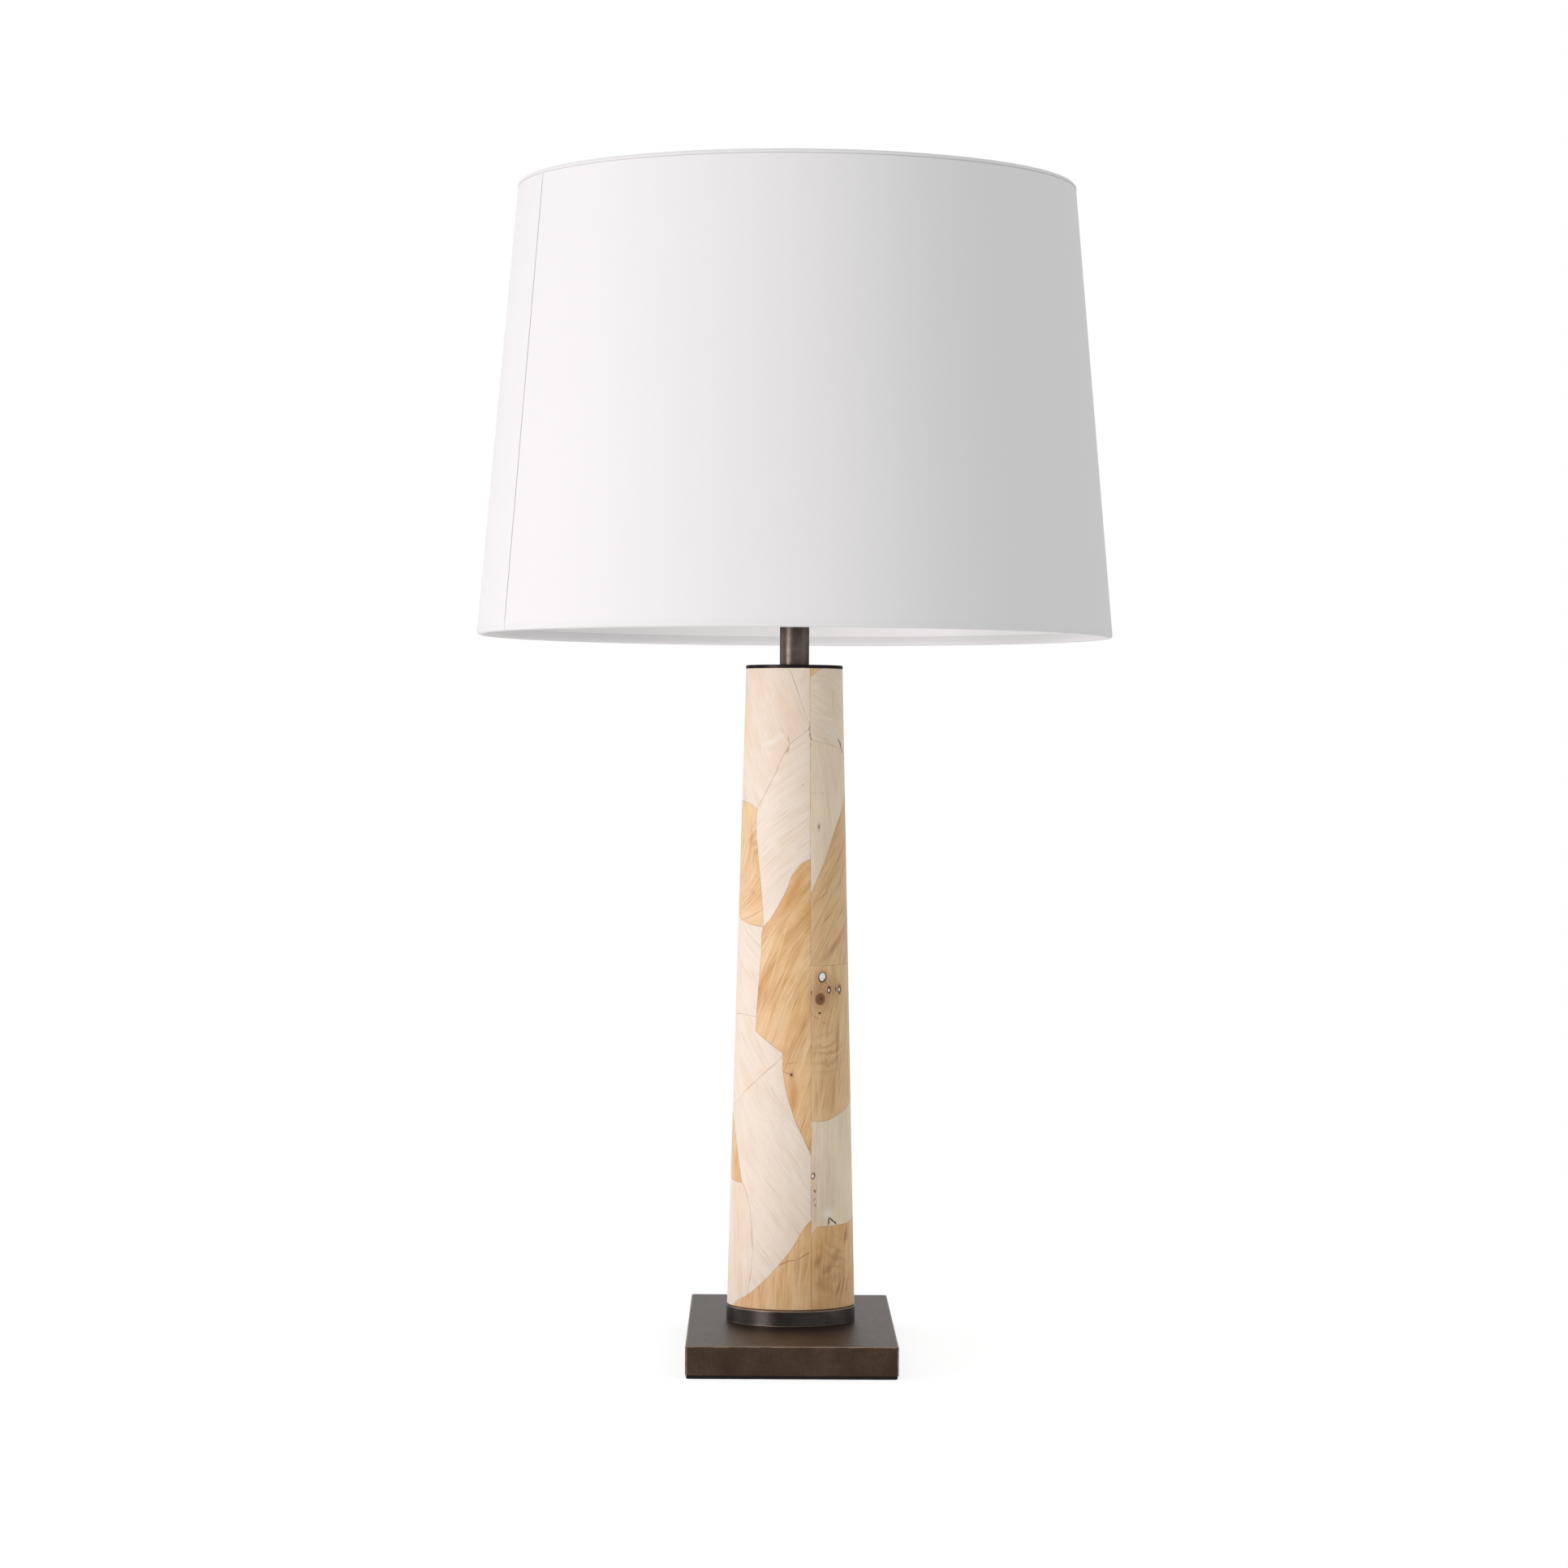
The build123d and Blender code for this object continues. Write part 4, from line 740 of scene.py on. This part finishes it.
def veneer(name, light, middle, deep, dull, band_share, lines, seam, seam_strength, figures, marks):
    """Wood veneer: clouds and bands of tone along the grain, fine lines and fibres, marks and seams."""
    shader = Shader(name, {"Specular IOR Level": 0.3})
    grain = shader.attribute("grain")
    place = shader.attribute("place")
    depth, rim, dullness = shader.parts(shader.attribute("look"))
    stretched = shader.vector("MULTIPLY", grain, (16, 42, 1))
    bent = shader.wander(grain, stretched, 1.0, 3.0, (0, 6 * MM, 0))
    bands = shader.noise(bent, (8, 95, 1), 5.0, 0.6)
    hairs = shader.noise(bent, (38, 1150, 1), 3.0, 0.6)
    fibres = shader.noise(bent, (80, 2900, 1), 2.0)
    pores = shader.noise(bent, (260, 4200, 1), 1.0)
    clouds = shader.noise(grain, (26, 44, 3), 5.0, 0.6)
    tone = shader.math("ADD", shader.math("MULTIPLY", bands, band_share),
                       shader.math("MULTIPLY", clouds, 1 - band_share))
    tone = shader.math("ADD", tone, shader.math("MULTIPLY", depth, 0.3))
    colour = shader.ramp(tone, (0.38, light), (0.52, middle), (0.70, deep))
    colour = shader.mix(dullness, colour, dull)
    colour = shader.darken(dullness, colour, clouds, 0.36, 0.62, SOFT_SHADE)
    uneven = shader.span(shader.noise(bent, (50, 160, 1), 3.0), 0.35, 0.65, 0.35 * lines, 1.35 * lines)
    colour = shader.darken(uneven, colour, hairs, 0.34, 0.60, HAIR_SHADE)
    colour = shader.darken(0.35, colour, fibres, 0.3, 0.68, SOFT_SHADE)
    colour = shader.mix(shader.span(pores, 0.66, 0.76, 0, 0.22), colour, deep)
    colour = wood_figure(shader, colour, figures)
    colour = wood_marks(shader, colour, marks)
    broken = shader.span(shader.noise(place, (75, 75, 1), 3.0, 0.6), 0.38, 0.62, 0.20, 1.0)
    edge = shader.math("MULTIPLY", shader.span(rim, 0.10, 0.85, 0, seam_strength), broken)
    colour = shader.mix(edge, colour, seam)
    shader.set(Base_Color=colour, Roughness=shader.span(fibres, 0.3, 0.7, 0.58, 0.46))
    rough = shader.bump(fibres, 0.10, 0.10 * MM)
    shader.set(Normal=shader.bump(pores, 0.08, 0.08 * MM, rough))
    return shader.material


def pale_veneer():
    return veneer("pale_veneer", light=(0.86, 0.765, 0.665, 1), middle=(0.855, 0.738, 0.620, 1),
                  deep=(0.83, 0.678, 0.533, 1), dull=(0.835, 0.715, 0.510, 1), band_share=0.3, lines=0.30,
                  seam=(0.46, 0.270, 0.135, 1), seam_strength=0.68,
                  figures=PALE_FIGURES, marks=PALE_MARKS)


def honey_veneer():
    return veneer("honey_veneer", light=(0.85, 0.635, 0.390, 1), middle=(0.815, 0.545, 0.288, 1),
                  deep=(0.67, 0.375, 0.145, 1), dull=(0.780, 0.608, 0.391, 1), band_share=0.5, lines=0.75,
                  seam=(0.36, 0.180, 0.070, 1), seam_strength=0.45,
                  figures=HONEY_FIGURES, marks=HONEY_MARKS)


# Shade
def shade_place(angle, along, out):
    """Point of the shade at an angle, a way up its slope and a way out from its face."""
    section = shade_foot + shade_up * along + shade_out * out
    return round_place(angle, section.x, section.y)


def lap_columns():
    """Columns of the cloth round the shade, from its upper end to its lower one: (angle, rise over the
    cloth below, darkness of the lap's painted shadow line, arc)."""
    whole = 2 * math.pi * shade_foot.x
    lap_shadow_start, lap_shadow_end = whole - LAP_SHADOW_LINE[0], whole - LAP_SHADOW_LINE[1]
    even = whole - LAP_CLEAR - LAP_EASE
    arcs = LAP_ARCS + [LAP_EASE + even * step / CLOTH_COLUMNS for step in range(1, CLOTH_COLUMNS + 1)]
    columns = []
    for arc in arcs + [lap_shadow_start, lap_shadow_end, whole, whole + LAP_WIDTH]:
        rounding = LAP_ROUNDING * (1 - ease(arc, 0, LAP_ROUND_WIDTH))
        rise = LAP_RISE * (1 - ease(arc, LAP_WIDTH, LAP_EASE)) - rounding
        lap_shadow = ease(arc, lap_shadow_start, lap_shadow_end) + (arc == 0)
        columns.append((LAP_ANGLE - 360 * arc / whole, max(0, rise), lap_shadow, arc))
    return columns


def cloth_rows():
    """Places of the cloth's rows up the slope, closer together at the hems."""
    foot = [row * MM for row in CLOTH_FOOT_ROWS]
    between = shade_slope - 2 * foot[-1]
    middle = [foot[-1] + between * step / CLOTH_BANDS for step in range(1, CLOTH_BANDS)]
    return foot + middle + [shade_slope - row * MM for row in CLOTH_HEAD_ROWS]


def make_cloth():
    """The shade's cloth: one strip rolled round, whose end is lapped over its start."""
    draft = Draft("cloth", "lap")
    shadow_places = [shade_slope - place for place in HEM_SHADOW_PLACES]
    outside, inside = [], []
    for angle, rise, lap_shadow, arc in lap_columns():
        for columns, depth in ((outside, 0), (inside, CLOTH_THICKNESS)):
            column = []
            for along in cloth_rows():
                free = ease(min(along, shade_slope - along), *PRESSED_REACH)
                lift = rise * (PRESSED_SHARE + (1 - PRESSED_SHARE) * free)
                shadow = HEM_SHADOW_DARKNESS * ease(along, *shadow_places)
                column.append(draft.point(shade_place(angle, along, lift - depth), cloth=(arc, along, 0),
                                          lap=(max(lap_shadow, shadow), 0, 0)))
            columns.append(column)
    for column, following in zip(outside, outside[1:]):
        draft.strip(column, following)
    for column, following in zip(inside, inside[1:]):
        draft.strip(following, column)
    draft.strip(inside[0], outside[0])
    draft.strip([column[0] for column in outside], [column[0] for column in inside])
    draft.strip(outside[-1], inside[-1])
    draft.strip([column[-1] for column in inside], [column[-1] for column in outside])
    cloth = draft.build("shade_cloth", shade_cloth(), "shade")
    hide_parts("shade_fabric")
    return cloth


def ring_arc(radius, start, end):
    """Points round the wire ring, from the shade's edge inwards."""
    turns = [math.radians(start + (end - start) * step / RING_STEPS) for step in range(RING_STEPS + 1)]
    return [(RING_ALONG - radius * math.cos(turn), RING_OUT - radius * math.sin(turn)) for turn in turns]


def hem_loop(top):
    """Closed section of a hem: over the edge, round the ring, up the liner and back under itself."""
    edge = HEM_TOP_EDGE if top else HEM_BOTTOM_EDGE
    wrap, wire = ring_arc(RING_WRAP, 0, WRAP_TURN), ring_arc(RING_WIRE, WIRE_TURN, 0)
    return [Vector(point) * MM for point in edge + HEM_ROLL + wrap + HEM_INSIDE + wire + HEM_BACK]


def make_hem(name, node, top):
    """Cloth rolled over one edge of the shade and its wire ring."""
    loop = hem_loop(top)
    lengths = [0.0]
    for before, after in zip(loop, loop[1:]):
        lengths.append(lengths[-1] + (after - before).length)
    # The lap's painted shadow line runs across the bottom hem only
    columns = [(LAP_ANGLE + turn, 0 if top else dark) for turn, dark in HEM_LAP_SHADOW]
    columns += [(LAP_ANGLE + 360 * step / HEM_SEGMENTS, 0) for step in range(1, HEM_SEGMENTS)]
    seed = 5.0 if top else 1.0
    draft = Draft("cloth", "lap")
    rings = []
    for angle, lap_shadow in columns:
        arc = math.radians(angle) * shade_foot.x
        ring = []
        for point, length in zip(loop, lengths):
            ripple = noise.noise((arc * HEM_WAVE_RATES[0], length * HEM_WAVE_RATES[1], seed))
            wave = HEM_WAVE * ripple * ease(-point.y, *HEM_WAVE_EASE)
            along = shade_slope - point.x if top else point.x
            outside = ease(point.y, *HEM_OUTER_FACE)
            # Painted shade, darkening the outside of the bottom hem's roll
            fold_shade = 0 if top else outside * ease(HEM_FOLD_SHADE_REACH - point.x, 0, HEM_FOLD_SHADE_EASE)
            # The third part marks the hem's inside, which the cloth's finish lightens as painted light
            ring.append(draft.point(shade_place(angle, along, point.y + wave), cloth=(arc, length, 0),
                                    lap=(lap_shadow * outside, fold_shade, 1 - outside)))
        rings.append(ring)
    rings.append(rings[0])
    draft.tube(rings[::-1] if top else rings)
    hem = draft.build(name, bpy.data.materials["shade_cloth"], "shade", sharp=50)
    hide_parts(node)
    return hem


def shade_cloth():
    """White cloth: plain weave with uneven threads, a painted shadow line where it is lapped, painted shade
    on the bottom hem's roll and painted light on the hems' inside.
    """
    shader = Shader("shade_cloth", {"Specular IOR Level": 0.2})
    shader.set(Sheen_Weight=0.08, Sheen_Roughness=0.5)
    cloth = shader.attribute("cloth")
    lap_shadow, fold_shade, inside = shader.parts(shader.attribute("lap"))
    turns = 2 * math.pi / THREAD_PITCH
    wave = shader.parts(shader.vector("MULTIPLY", cloth, (turns, turns, 0)))
    weave = shader.math("MULTIPLY", shader.math("SINE", wave[0]), shader.math("SINE", wave[1]))
    weft = shader.noise(cloth, (25, 1500, 1), 3.0, 0.6)
    warp = shader.noise(cloth, (1500, 18, 1), 3.0, 0.6)
    threads = shader.math("ADD", weft, warp)
    clouds = shader.noise(cloth, (9, 9, 1), 2.0)
    colour = shader.ramp(threads, (0.30, (0.72, 0.72, 0.72, 1)), (0.70, (0.775, 0.775, 0.777, 1)))
    colour = shader.mix(shader.span(clouds, 0.3, 0.7, 0, 0.25), colour, (0.765, 0.762, 0.756, 1))
    # Painted shade on the bottom hem's roll, painted light on the hems' inside, and the lap's painted
    # shadow line
    painted_light_and_shade = [(fold_shade, 0.12, (0.64, 0.645, 0.645, 1)), (inside, 0.8, (0.90, 0.90, 0.91, 1)),
             (lap_shadow, 0.60, (0.34, 0.325, 0.325, 1))]
    for cover, strength, tint in painted_light_and_shade:
        colour = shader.mix(shader.span(cover, 0.0, 1.0, 0, strength), colour, tint)
    shader.set(Base_Color=colour, Roughness=shader.span(threads, 0.7, 1.3, 0.92, 0.82))
    rough = shader.bump(threads, 0.10, 0.2 * MM)
    shader.set(Normal=shader.bump(weave, 0.12, 0.06 * MM, rough))
    return shader.material


def shade_liner():
    """Smooth white plastic liner with a faint mottle."""
    shader = Shader("shade_liner", {"Specular IOR Level": 0.4})
    place = shader.place()
    mottle = shader.noise(place, (40, 40, 40), 4.0, 0.6)
    speck = shader.noise(place, (1500, 1500, 1500), 2.0)
    colour = shader.ramp(mottle, (0.3, (0.925, 0.925, 0.932, 1)), (0.7, (0.95, 0.95, 0.955, 1)))
    shader.set(Base_Color=colour, Roughness=shader.span(mottle, 0.3, 0.7, 0.42, 0.55))
    shader.set(Normal=shader.bump(speck, 0.05, 0.05 * MM))
    return shader.material


# Felt and switch knob
def make_felt():
    """Felt pad under the base, with a soft and slightly ragged edge."""
    low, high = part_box("felt_pad")
    half_width, half_depth, thick = high.x, high.y, high.z - low.z
    corners = []
    for sign_x, sign_y, turn in ((1, -1, -90), (1, 1, 0), (-1, 1, 90), (-1, -1, 180)):
        middle = Vector((sign_x * (half_width - FELT_CORNER), sign_y * (half_depth - FELT_CORNER)))
        for step in range(FELT_CORNER_STEPS + 1):
            swing = math.radians(turn + 90 * step / FELT_CORNER_STEPS)
            corners.append(middle + Vector((math.cos(swing), math.sin(swing))) * FELT_CORNER)
    draft = Draft()
    rings = []
    for inset, rise in FELT_PROFILE:
        ring = []
        for point in stepped(corners, FELT_STEP):
            uneven = noise.noise((point.x * FELT_RAGGED_RATE, point.y * FELT_RAGGED_RATE, rise * 3))
            ragged = 0 if rise in (0, 1) else max(0, FELT_RAGGED * (0.5 + uneven))
            inward = inset * MM + ragged
            ring.append(draft.point((point.x * (1 - inward / half_width),
                                     point.y - math.copysign(inward, point.y), low.z + thick * rise)))
        rings.append(ring)
    draft.tube(rings)
    draft.faces.append(tuple(reversed(rings[0])))
    draft.faces.append(tuple(rings[-1]))
    pad = draft.build("felt", felt(), "stand", sharp=60)
    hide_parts("felt_pad")


def felt():
    """Black felt of matted fibres."""
    shader = Shader("felt", {"Roughness": 1.0, "Specular IOR Level": 0.05, "Sheen Weight": 0.15})
    place = shader.place()
    fibres = shader.noise(place, (1400, 900, 1400), 4.0, 0.7)
    clumps = shader.noise(place, (160, 160, 160), 3.0)
    colour = shader.ramp(fibres, (0.3, (0.006, 0.006, 0.006, 1)), (0.75, (0.030, 0.028, 0.027, 1)))
    colour = shader.mix(shader.span(clumps, 0.4, 0.8, 0, 0.4), colour, (0.016, 0.015, 0.015, 1))
    shader.set(Base_Color=colour, Normal=shader.bump(fibres, 0.5, 0.3 * MM))
    return shader.material


def make_knob():
    """Fluted knob of the switch, pointing at the viewer."""
    low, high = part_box("switch_knob")
    middle_x, middle_z, radius = (low.x + high.x) / 2, (low.z + high.z) / 2, (high.x - low.x) / 2
    length = high.y - low.y
    count = KNOB_FLUTES * KNOB_FLUTE_STEPS
    draft = Draft()
    rings = []
    for share, forward, fluted in KNOB_PROFILE:
        ring = []
        for step in range(count):
            turn = 2 * math.pi * step / count
            groove = KNOB_FLUTE_DEPTH * fluted * (0.5 - 0.5 * math.cos(KNOB_FLUTES * turn)) ** 2
            reach = share * radius - groove
            ring.append(draft.point((middle_x + reach * math.cos(turn), high.y - forward * length,
                                     middle_z + reach * math.sin(turn))))
        rings.append(ring)
    draft.tube(rings)
    draft.faces.append(tuple(reversed(rings[0])))
    tip = draft.point((middle_x, high.y - KNOB_DISH * length, middle_z))
    last = rings[-1]
    draft.faces += [(last[i], last[(i + 1) % count], tip) for i in range(count)]
    knob = draft.build("fluted_knob", moulding("knob_moulding"), "switch", sharp=50)
    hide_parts("switch_knob")


# Finishes of the frame's own solids
def edge_distance(shader, distances):
    """Distance to the nearest edge, where two of the faces at the given distances meet."""
    pairs = [(a, b) for i, a in enumerate(distances) for b in distances[i + 1:]]
    nearest = None
    for a, b in pairs:
        both = shader.math("MAXIMUM", a, b)
        nearest = both if nearest is None else shader.math("MINIMUM", nearest, both)
    return nearest


def bronze(name, dark, light, worn, roughness, wear=0.6, reach=(0.4, 1.2), tint=0.5, grit=0.1, edges=None,
           brushed=None, spread=0.0):
    """Patinated bronze: mottled brown, a fine tooth, brush lines, and metal showing along worn edges."""
    shader = Shader(name, {"Metallic": 1.0, "Specular Tint": (tint, tint, tint, 1), "Anisotropic": spread,
                           "Anisotropic Rotation": 0.25})
    if spread:
        tangent = shader.add("ShaderNodeTangent", {}, direction_type="RADIAL", axis="Z")
        shader.set(Tangent=tangent.outputs[0])
    place = shader.place()
    mottle = shader.noise(place, (55, 55, 75), 5.0, 0.62)
    tooth = shader.noise(place, (620, 620, 620), 4.0, 0.7)
    colour = shader.ramp(mottle, (0.30, dark), (0.72, light))
    colour = shader.mix(shader.span(tooth, 0.38, 0.66, 1.8 * grit, 0), colour, dark)
    height = tooth
    if brushed is not None:
        lines = shader.noise(place, brushed, 3.0, 0.6)
        colour = shader.mix(shader.span(lines, 0.45, 0.75, 0, 0.55), colour, light)
        height = shader.math("ADD", tooth, lines)
    if edges is not None:
        rubbed = shader.noise(place, (120, 120, 260), 4.0, 0.65)
        width = shader.span(rubbed, 0.30, 0.70, reach[0] * MM, reach[1] * MM)
        near = shader.math("DIVIDE", edge_distance(shader, edges(shader, place)), width)
        colour = shader.mix(shader.span(near, 0.45, 1.0, wear, 0), colour, worn)
    shader.set(Base_Color=colour, Normal=shader.bump(height, grit, 0.12 * MM))
    shader.set(Roughness=shader.span(tooth, 0.3, 0.7, roughness + 0.03, roughness - 0.03))
    return shader.material


def top_edges(node):
    """Distances to the four sides of a node's box, folded to two by symmetry, and to its top."""
    low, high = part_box(node)
    middle = (low + high) / 2
    half = (high - low) / 2 - Vector((CORNER_EASE, CORNER_EASE, 0))

    def distances(shader, place):
        offset = shader.vector("ABSOLUTE", shader.vector("SUBTRACT", place, middle), (0, 0, 0))
        sides = shader.parts(shader.vector("SUBTRACT", half, offset))
        return [sides[0], sides[1], shader.math("SUBTRACT", high.z, shader.parts(place)[2])]
    return distances


def rim_edges(radius, low, high):
    """Distances to the side and to the ends of a round piece about Z."""
    def distances(shader, place):
        flat = shader.vector("LENGTH", shader.vector("MULTIPLY", place, (1, 1, 0)), (0, 0, 0))
        side = shader.math("ABSOLUTE", shader.math("SUBTRACT", radius, flat))
        level = shader.parts(place)[2]
        above, below = shader.math("SUBTRACT", level, low), shader.math("SUBTRACT", high, level)
        return [side, shader.math("MINIMUM", above, below)]
    return distances


def metal(name, dark, light, roughness, metallic=1.0):
    """Plain metal with a slight stain and fine scratches."""
    shader = Shader(name, {"Metallic": metallic})
    place = shader.place()
    stain = shader.noise(place, (90, 90, 90), 4.0, 0.6)
    scratch = shader.noise(place, (300, 300, 300), 3.0, 0.65)
    shader.set(Base_Color=shader.ramp(stain, (0.3, dark), (0.7, light)))
    shader.set(Roughness=shader.span(scratch, 0.3, 0.7, roughness - 0.08, roughness + 0.10))
    shader.set(Normal=shader.bump(scratch, 0.06, 0.1 * MM))
    return shader.material


def grained(name, dark, light, roughness, scale, bump, detail=3.0, coarse=0.5, **sockets):
    """Finish whose colour, roughness and bump follow one grain; the bump is (strength, millimetres)."""
    shader = Shader(name, {})
    grain = shader.noise(shader.place(), scale, detail, coarse)
    shader.set(Base_Color=shader.ramp(grain, (0.3, dark), (0.7, light)), **sockets)
    shader.set(Roughness=shader.span(grain, 0.3, 0.7, *roughness))
    shader.set(Normal=shader.bump(grain, bump[0], bump[1] * MM))
    return shader.material


def moulding(name, dark=(0.010, 0.010, 0.011, 1), light=(0.022, 0.021, 0.021, 1), roughness=0.4):
    """Moulded insulating material with a fine grain."""
    return grained(name, dark, light, (roughness, roughness + 0.15), (700, 700, 700), (0.08, 0.08),
                   Specular_IOR_Level=0.5)


def core_wood():
    """Dark glue and wood under the veneer, seen only in its seams."""
    return grained("core_wood", (0.15, 0.080, 0.040, 1), (0.24, 0.135, 0.070, 1), (0.8, 0.8),
                   (250, 250, 12), (0.2, 0.2), 4.0, 0.6)


def frosted_glass():
    """Milky bulb glass."""
    return grained("frosted_glass", (0.91, 0.91, 0.89, 1), (0.95, 0.95, 0.94, 1), (0.45, 0.6),
                   (900, 900, 900), (0.08, 0.1), 3.0, 0.6, Transmission_Weight=0.06, IOR=1.5)


def dress(material, *nodes):
    """Gives a material to some of the frame's own solids."""
    for node in nodes:
        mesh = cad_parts[node].data
        mesh.materials.clear()
        mesh.materials.append(material)


def finish_bronze():
    """Base, collar, disc on the column, neck and finial."""
    collar_low, collar_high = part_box("base_collar")
    worn = (0.30, 0.225, 0.165, 1)
    dress(bronze("base_bronze", (0.044, 0.028, 0.020, 1), (0.084, 0.055, 0.039, 1), worn, 0.42, wear=0.72,
                 reach=(0.7, 1.2), tint=0.8, grit=0.3, edges=top_edges("base_plate")), "base_plate")
    dress(bronze("collar_bronze", (0.032, 0.028, 0.026, 1), (0.080, 0.071, 0.067, 1), worn, 0.42, wear=0.95,
                 reach=(0.75, 0.95), edges=rim_edges(collar_high.x, collar_low.z, column_foot),
                 brushed=(60, 60, 900), spread=0.75), "base_collar")
    dress(bronze("cap_bronze", (0.012, 0.010, 0.010, 1), (0.024, 0.021, 0.020, 1), worn, 0.34,
                 brushed=(60, 60, 900)), "column_top_cap")
    dress(bronze("dark_bronze", (0.037, 0.029, 0.024, 1), (0.146, 0.121, 0.106, 1), worn, 0.30,
                 brushed=(330, 330, 14)), "neck_tube", "finial")


def finish_fittings():
    """Everything inside the column, under the base and inside the shade."""
    dress(core_wood(), "column_core")
    dress(shade_liner(), "shade_liner")
    dress(frosted_glass(), "bulb_globe")
    dress(metal("steel", (0.38, 0.38, 0.38, 1), (0.55, 0.55, 0.54, 1), 0.38), "base_flat_washer",
          "base_lock_washer", "base_nut", "column_nut", "threaded_pipe", "terminal_screws", "switch_shaft")
    dress(metal("antique_brass", (0.24, 0.16, 0.07, 1), (0.42, 0.30, 0.14, 1), 0.32), "harp_saddle",
          "harp_wire", "harp_top_hub", "harp_sleeve_left", "harp_sleeve_right")
    dress(metal("holder_brass", (0.50, 0.36, 0.15, 1), (0.66, 0.50, 0.24, 1), 0.28), "holder_cap",
          "holder_shell", "holder_screw_shell", "holder_centre_contact")
    dress(metal("bulb_metal", (0.62, 0.62, 0.62, 1), (0.76, 0.76, 0.75, 1), 0.25), "bulb_screw_cap",
          "bulb_tip_contact")
    dress(metal("white_wire", (0.80, 0.80, 0.79, 1), (0.86, 0.86, 0.85, 1), 0.42, metallic=0.0),
          "shade_bottom_ring", "shade_top_ring", "shade_spider")
    dress(moulding("insulating_board", (0.16, 0.10, 0.055, 1), (0.24, 0.16, 0.09, 1), 0.75),
          "holder_insulating_sleeve")
    dress(moulding("black_moulding"), "holder_body")
    dress(moulding("black_rubber", (0.010, 0.010, 0.010, 1), (0.020, 0.020, 0.020, 1), 0.65),
          "cord_grommet")
    dress(moulding("black_glass", (0.004, 0.004, 0.004, 1), (0.008, 0.008, 0.008, 1), 0.15),
          "bulb_insulator")


# Floor, light and camera
def make_floor():
    """Pale floor that keeps the object's shadow and turns to plain white further out."""
    shader = Shader("floor", {"Base Color": FLOOR_COLOUR, "Roughness": 0.9, "Specular IOR Level": 0.0})
    far = shader.span(shader.vector("LENGTH", shader.place(), (0, 0, 0)), *SHADOW_REACH)
    white = shader.add("ShaderNodeEmission", {"Color": WHITE, "Strength": 1.0}).outputs[0]
    glow = shader.add("ShaderNodeEmission", {"Color": WHITE, "Strength": FLOOR_GLOW}).outputs[0]
    faint = shader.add("ShaderNodeBsdfDiffuse", {"Color": SHADOW_COLOUR}).outputs[0]
    near = shader.add("ShaderNodeAddShader", {0: faint, 1: glow}).outputs[0]
    shown = shader.add("ShaderNodeMixShader", {0: far, 1: near, 2: white}).outputs[0]
    plain = shader.surface.outputs[0]
    blend = shader.add("ShaderNodeMixShader", {0: shader.seen(), 1: plain, 2: shown}).outputs[0]
    shader.feed(shader.tree.nodes["Material Output"].inputs["Surface"], blend)
    draft = Draft()
    turns = [360 * step / FLOOR_SEGMENTS for step in range(FLOOR_SEGMENTS)]
    draft.faces.append(tuple(draft.point(round_place(turn, FLOOR_RADIUS, 0)) for turn in turns))
    floor = add_object("floor", draft.mesh("floor", shader.material))


def light_world():
    """Even white surroundings: white to the eye and in reflections, and a soft fill for everything else."""
    world = bpy.data.worlds.new("studio")
    world.use_nodes = True
    bpy.context.scene.world = world
    nodes = Nodes(world.node_tree)
    limits = {"Value": nodes.seen(), "To Min": FILL_STRENGTH, "To Max": 1.0}
    strength = nodes.add("ShaderNodeMapRange", limits)
    background = nodes.tree.nodes["Background"].inputs
    nodes.feed(background["Color"], WHITE)
    nodes.feed(background["Strength"], strength.outputs[0])


def add_softbox(name, angle, height, size, power):
    """Oblong soft light at an angle from the viewer's side, aimed at the middle of the lamp."""
    lamp = bpy.data.lights.new(name, "AREA")
    lamp.shape = "RECTANGLE"
    lamp.size, lamp.size_y = size
    lamp.energy = power
    lamp.color = LAMP_COLOUR
    softbox = add_object(name, lamp)
    softbox.location = round_place(angle, LAMP_DISTANCE, height)
    aim = Vector((0, 0, AIM_HEIGHT)) - softbox.location
    softbox.rotation_euler = aim.to_track_quat("-Z", "Y").to_euler()


def make_camera():
    """Camera at the photograph's viewpoint."""
    data = bpy.data.cameras.new("camera")
    data.sensor_width = SENSOR_WIDTH
    data.lens = FOCAL_LENGTH_PIXELS / PHOTO_SIZE * SENSOR_WIDTH
    camera = add_object("camera", data)
    turn = Matrix.Rotation(-math.radians(CAMERA_TURN_RIGHT), 4, "Z")
    tilt = Matrix.Rotation(math.radians(90 - CAMERA_TILT_DOWN), 4, "X")
    roll = Matrix.Rotation(math.radians(CAMERA_ROLL), 4, "Z")
    camera.matrix_world = Matrix.Translation(CAMERA_PLACE) @ turn @ tilt @ roll
    bpy.context.scene.camera = camera


def make_lamp():
    """Every piece of the lamp that is made or finished here."""
    make_column()
    cloth = make_cloth()
    hems = [make_hem("shade_hem_bottom", "shade_bottom_hem", top=False),
            make_hem("shade_hem_top", "shade_top_hem", top=True)]
    make_felt()
    make_knob()
    finish_bronze()
    finish_fittings()


bpy.context.scene.view_settings.view_transform = "Standard"
make_camera()
make_floor()
light_world()
for softbox in SOFTBOXES:
    add_softbox(*softbox)
make_lamp()
